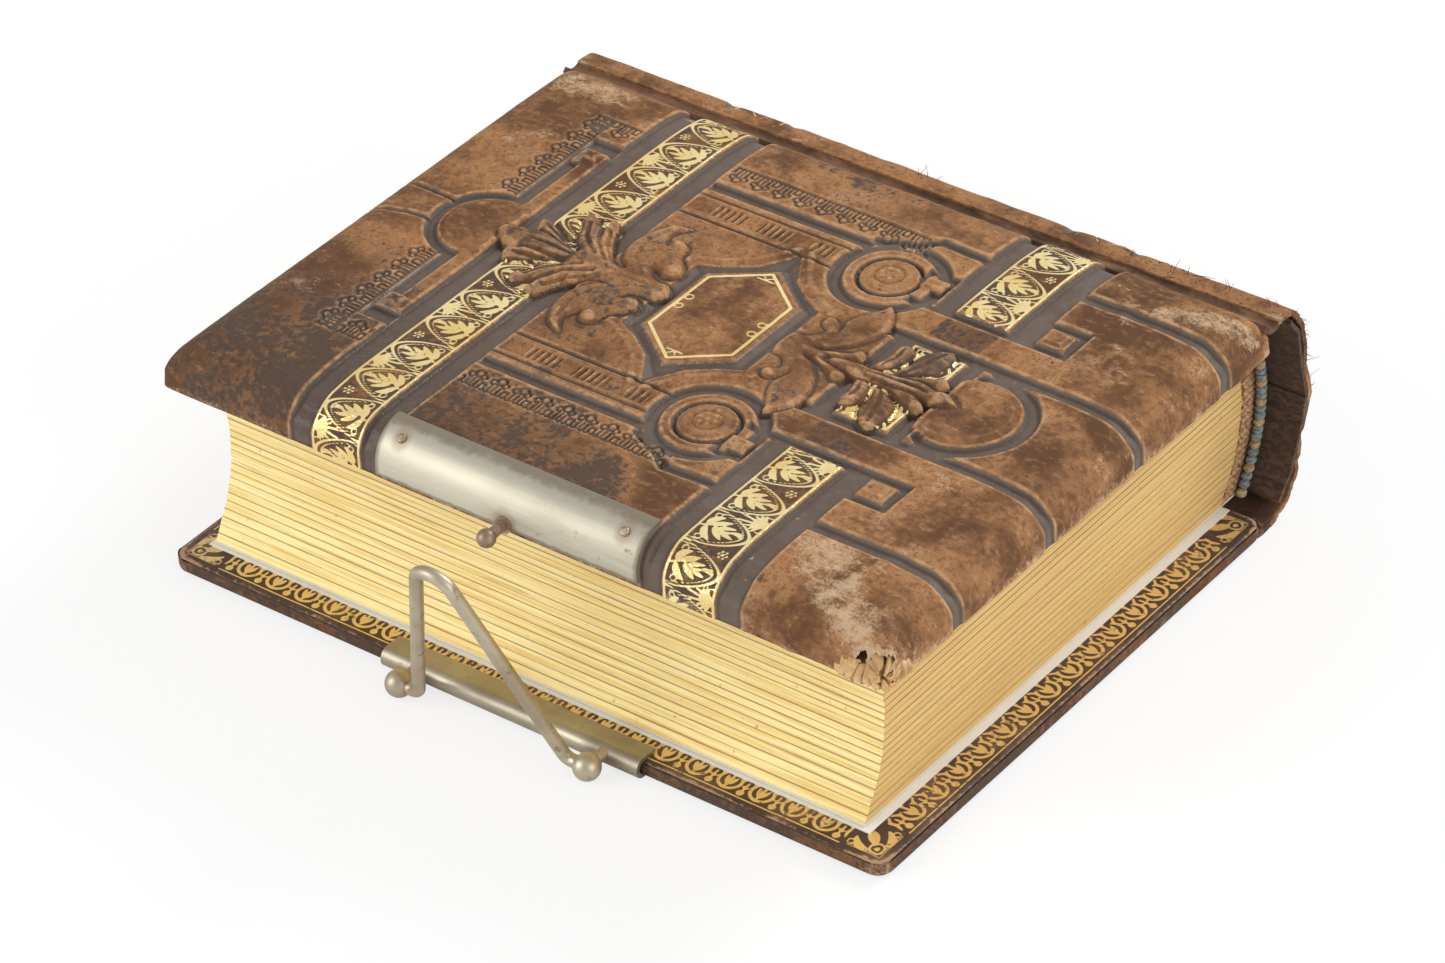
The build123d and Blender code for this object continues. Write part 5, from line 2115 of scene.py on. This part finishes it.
    def build(self) -> List[Piece]:
        """Build the spine.

        Returns:
            The pieces.
        """
        low = self.make_panel("spine_panel_lower", "spine_lower", self.lower, True)
        high = self.make_panel("spine_panel_upper", "spine_upper", self.upper, False)
        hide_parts("spine_leather_lower")
        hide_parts("spine_leather_upper")
        self.shelf.put_on_node("spine_liner_lower", Kind.LINER)
        self.shelf.put_on_node("spine_liner_upper", Kind.LINER)
        return [low, high, self.make_fibres()]


# ---------------------------------------------------------------- text block
@dataclass
class TextBlock:
    """Stiff gilt leaves with their guards, lining and end bands."""

    shelf: FinishShelf
    count: int = 25
    bottom: float = 3.6
    pitch: float = 1.32
    gap: float = 0.04
    back_edge: float = 59.5
    lean: float = 2.5
    round_out: float = 5.0
    width: float = 109.0
    guard: float = 4.5
    head_x: float = -70.6
    tail_x: float = 66.8
    soft: float = 0.11

    def back_y(self, z: float) -> float:
        """Y of the block's back at a height."""
        share = (z - self.bottom) / (self.count * self.pitch)
        return self.back_edge + self.lean * share + 4 * self.round_out * share * (1 - share)

    def sheared(self, piece: Piece, low: float, high: float, base: float) -> None:
        """Lean a slab as the block leans.

        Args:
            piece: the slab.
            low: its lower level.
            high: its upper level.
            base: the Y that its points were placed against.
        """
        where = Bench.points(piece) / MM
        share = np.clip((where[:, 2] - low) / (high - low), 0, 1)
        where[:, 1] += (1 - share) * self.back_y(low) + share * self.back_y(high) - base
        Bench.move_points(piece, where * MM)

    def make_leaf(self, index: int) -> List[Piece]:
        """One leaf: card, guard and its share of lining and end bands.

        Args:
            index: its place in the block, from 0 at the bottom.

        Returns:
            The pieces.
        """
        rng = np.random.default_rng(100 + index)
        low = self.bottom + index * self.pitch + self.gap / 2
        high = low + self.pitch - self.gap
        body = f"leaf_{index + 1:02d}"
        trim = rng.uniform(0.0, 0.22)
        end = rng.uniform(0.0, 0.14)
        card = Bench.block(f"{body}_card", (self.head_x + end, trim - self.width, low),
                           (self.tail_x - rng.uniform(0.0, 0.14), -self.guard, high))
        Bench.edit(card, bpy.ops.mesh.subdivide, number_cuts=1)
        Bench.modify(card, "BEVEL", width=self.soft * MM, segments=3, limit_method="ANGLE",
                     angle_limit=math.radians(50))
        level = Bench.points(card)[:, 2] / MM
        Bench.store(card, "page", np.where(np.minimum(level - low, high - level) < 0.004, 1.0, 0.0))
        self.sheared(card, low, high, 0.0)
        Bench.soften(card, 35.0)
        self.shelf.put(card, Kind.CARD)
        guard = Bench.block(f"{body}_guard", (self.head_x + 0.1, -self.guard + 0.02, low + 0.04),
                            (self.tail_x - 0.1, 0.0, high - 0.04))
        Bench.modify(guard, "BEVEL", width=0.22 * MM, segments=2)
        lining = Bench.block(f"{body}_lining", (self.head_x + 0.2, -0.05, low),
                             (self.tail_x - 0.2, 0.3, high))
        seam = Bench.block(f"{body}_seam", (self.head_x - 0.12, -self.guard - 0.35, low + 0.06),
                           (self.tail_x + 0.12, -self.guard + 0.35, high - 0.06))
        Bench.modify(seam, "BEVEL", width=0.2 * MM, segments=2)
        pieces = [card]
        for piece, kind, slot in ((guard, Kind.LINEN, "linen"), (lining, Kind.LINEN, "linen"),
                                  (seam, Kind.SEAM, "linen")):
            self.sheared(piece, low, high, 0.0)
            Bench.soften(piece, 40.0)
            self.shelf.put(piece, kind)
            pieces.append(piece)
        kind = Kind.BLUE_CORD if index % 3 else Kind.GOLD_CORD
        for name, x in (("head", self.head_x - 1.15), ("tail", self.tail_x + 1.15)):
            Bench.clear()
            bpy.ops.mesh.primitive_uv_sphere_add(segments=14, ring_count=8, radius=1.0)
            stitch = bpy.context.object
            middle = (low + high) / 2
            stitch.location = (x * MM, (self.back_y(middle) - 0.45) * MM, middle * MM)
            stitch.scale = (1.0 * MM, 1.05 * MM, 0.72 * MM)
            stitch.rotation_euler = (math.radians(24), 0, 0)
            Bench.settle(stitch, f"{body}_{name}_stitch")
            Bench.soften(stitch, 60.0)
            self.shelf.put(stitch, kind)
            pieces.append(stitch)
        for piece in pieces:
            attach(piece, body)
        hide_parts(body)
        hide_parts("back_lining")
        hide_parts("head_band")
        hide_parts("tail_band")
        return pieces

    def build(self) -> List[Piece]:
        """Build every leaf.

        Returns:
            The pieces.
        """
        pieces: List[Piece] = []
        for index in range(self.count):
            pieces += self.make_leaf(index)
        self.shelf.put_on_node("back_flyleaf", Kind.PAPER)
        self.shelf.put_on_node("front_flyleaf", Kind.PAPER)
        return pieces


# ---------------------------------------------------------------- clasp
@dataclass
class Clasp:
    """Metal parts, which keep their CAD shapes."""

    shelf: FinishShelf
    parts: Dict[Kind, Sequence[str]] = field(default_factory=lambda: {
        Kind.NICKEL: ("clasp_plate",),
        Kind.CATCH: ("catch_plate",),
        Kind.WIRE: ("clasp_lug_left", "clasp_lug_right", "clasp_bail"),
        Kind.BRONZE: ("catch_rivets", "catch_stud"),
    })

    def build(self) -> None:
        """Dress the metal parts.
        """
        for kind, names in self.parts.items():
            for name in names:
                self.shelf.put_on_node(name, kind)


# ---------------------------------------------------------------- studio
@dataclass
class Studio:
    """Floor, lamps, world and camera."""

    focal: float = 148.16
    turn: Tuple[float, float, float] = (2.11682967, 0.682888824, -0.400773165)
    shift: Tuple[float, float, float] = (-0.596687328, 8.09168846, 678.7422)
    unit: float = 1.5

    def make_camera(self) -> None:
        """Camera at the book's own viewing angle."""
        angle = math.sqrt(sum(t * t for t in self.turn))
        turn = Matrix.Rotation(angle, 3, Vector(self.turn) / angle)
        place = -(turn.transposed() @ Vector(self.shift)) * self.unit * MM
        lens = bpy.data.cameras.new("camera")
        lens.lens = self.focal
        lens.sensor_width = 36.0
        lens.clip_start = 0.05
        lens.clip_end = 20.0
        camera = bpy.data.objects.new("camera", lens)
        bpy.context.collection.objects.link(camera)
        right, down, ahead = turn[0], turn[1], turn[2]
        camera.matrix_world = Matrix((
            (right[0], -down[0], -ahead[0], place[0]),
            (right[1], -down[1], -ahead[1], place[1]),
            (right[2], -down[2], -ahead[2], place[2]),
            (0, 0, 0, 1),
        ))
        bpy.context.scene.camera = camera

    def make_lamp(self, name: str, place: Tuple[float, float, float], size: float, power: float) -> None:
        """A square soft lamp that looks at the book.

        Args:
            name: its name.
            place: where it hangs, in metres.
            size: the side of its square, in metres.
            power: in watts.
        """
        data = bpy.data.lights.new(name, "AREA")
        data.size = size
        data.energy = power
        lamp = bpy.data.objects.new(name, data)
        lamp.location = place
        lamp.rotation_euler = (Vector((0, 0, 0.02)) - Vector(place)).to_track_quat("-Z", "Y").to_euler()
        bpy.context.collection.objects.link(lamp)

    def build(self) -> None:
        """Set the studio up."""
        scene = bpy.context.scene
        scene.view_settings.view_transform = "Standard"
        Bench.clear()
        bpy.ops.mesh.primitive_plane_add(size=6.0, location=(0, 0, -0.0002))
        floor = Bench.settle(bpy.context.object, "floor")
        maker = MaterialMaker("floor_white")
        floor.data.materials.append(maker.finish((0.92, 0.92, 0.92), 0.9))
        glow = maker.node("ShaderNodeEmission", {}, {"Color": (1.0, 1.0, 1.0), "Strength": 1.0})
        seen = maker.node("ShaderNodeLightPath", output="Is Camera Ray") * 0.75
        plain = Value(maker, maker.shader.outputs[0])
        both = maker.node("ShaderNodeMixShader", {}, {0: seen, 1: plain, 2: glow})
        final = next(node for node in maker.tree.nodes if node.type == "OUTPUT_MATERIAL")
        maker.tree.links.new(both.socket, final.inputs["Surface"])
        world = bpy.data.worlds.new("studio")
        world.use_nodes = True
        scene.world = world
        tree = world.node_tree
        tree.nodes["Background"].inputs["Color"].default_value = (1.0, 1.0, 1.0, 1.0)
        tree.nodes["Background"].inputs["Strength"].default_value = 0.6
        self.make_lamp("key", (0.35, 1.0, 0.85), 0.45, 9.0)
        self.make_lamp("fill", (-0.75, -0.95, 0.6), 0.8, 8.0)
        self.make_lamp("side", (1.1, -0.2, 0.5), 0.7, 4.0)
        self.make_camera()


def main() -> None:
    """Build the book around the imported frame."""
    logging.basicConfig(level=logging.INFO, format="%(message)s")
    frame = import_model()
    shelf = FinishShelf(frame["nodes"])
    Clasp(shelf).build()
    for part in (BackCover(shelf), TextBlock(shelf), FrontCover(shelf), Spine(shelf)):
        pieces = part.build()
        log.info("%s: %d pieces, first %s", type(part).__name__, len(pieces), pieces[0].name)
    Studio().build()


if __name__ == "__main__":
    main()
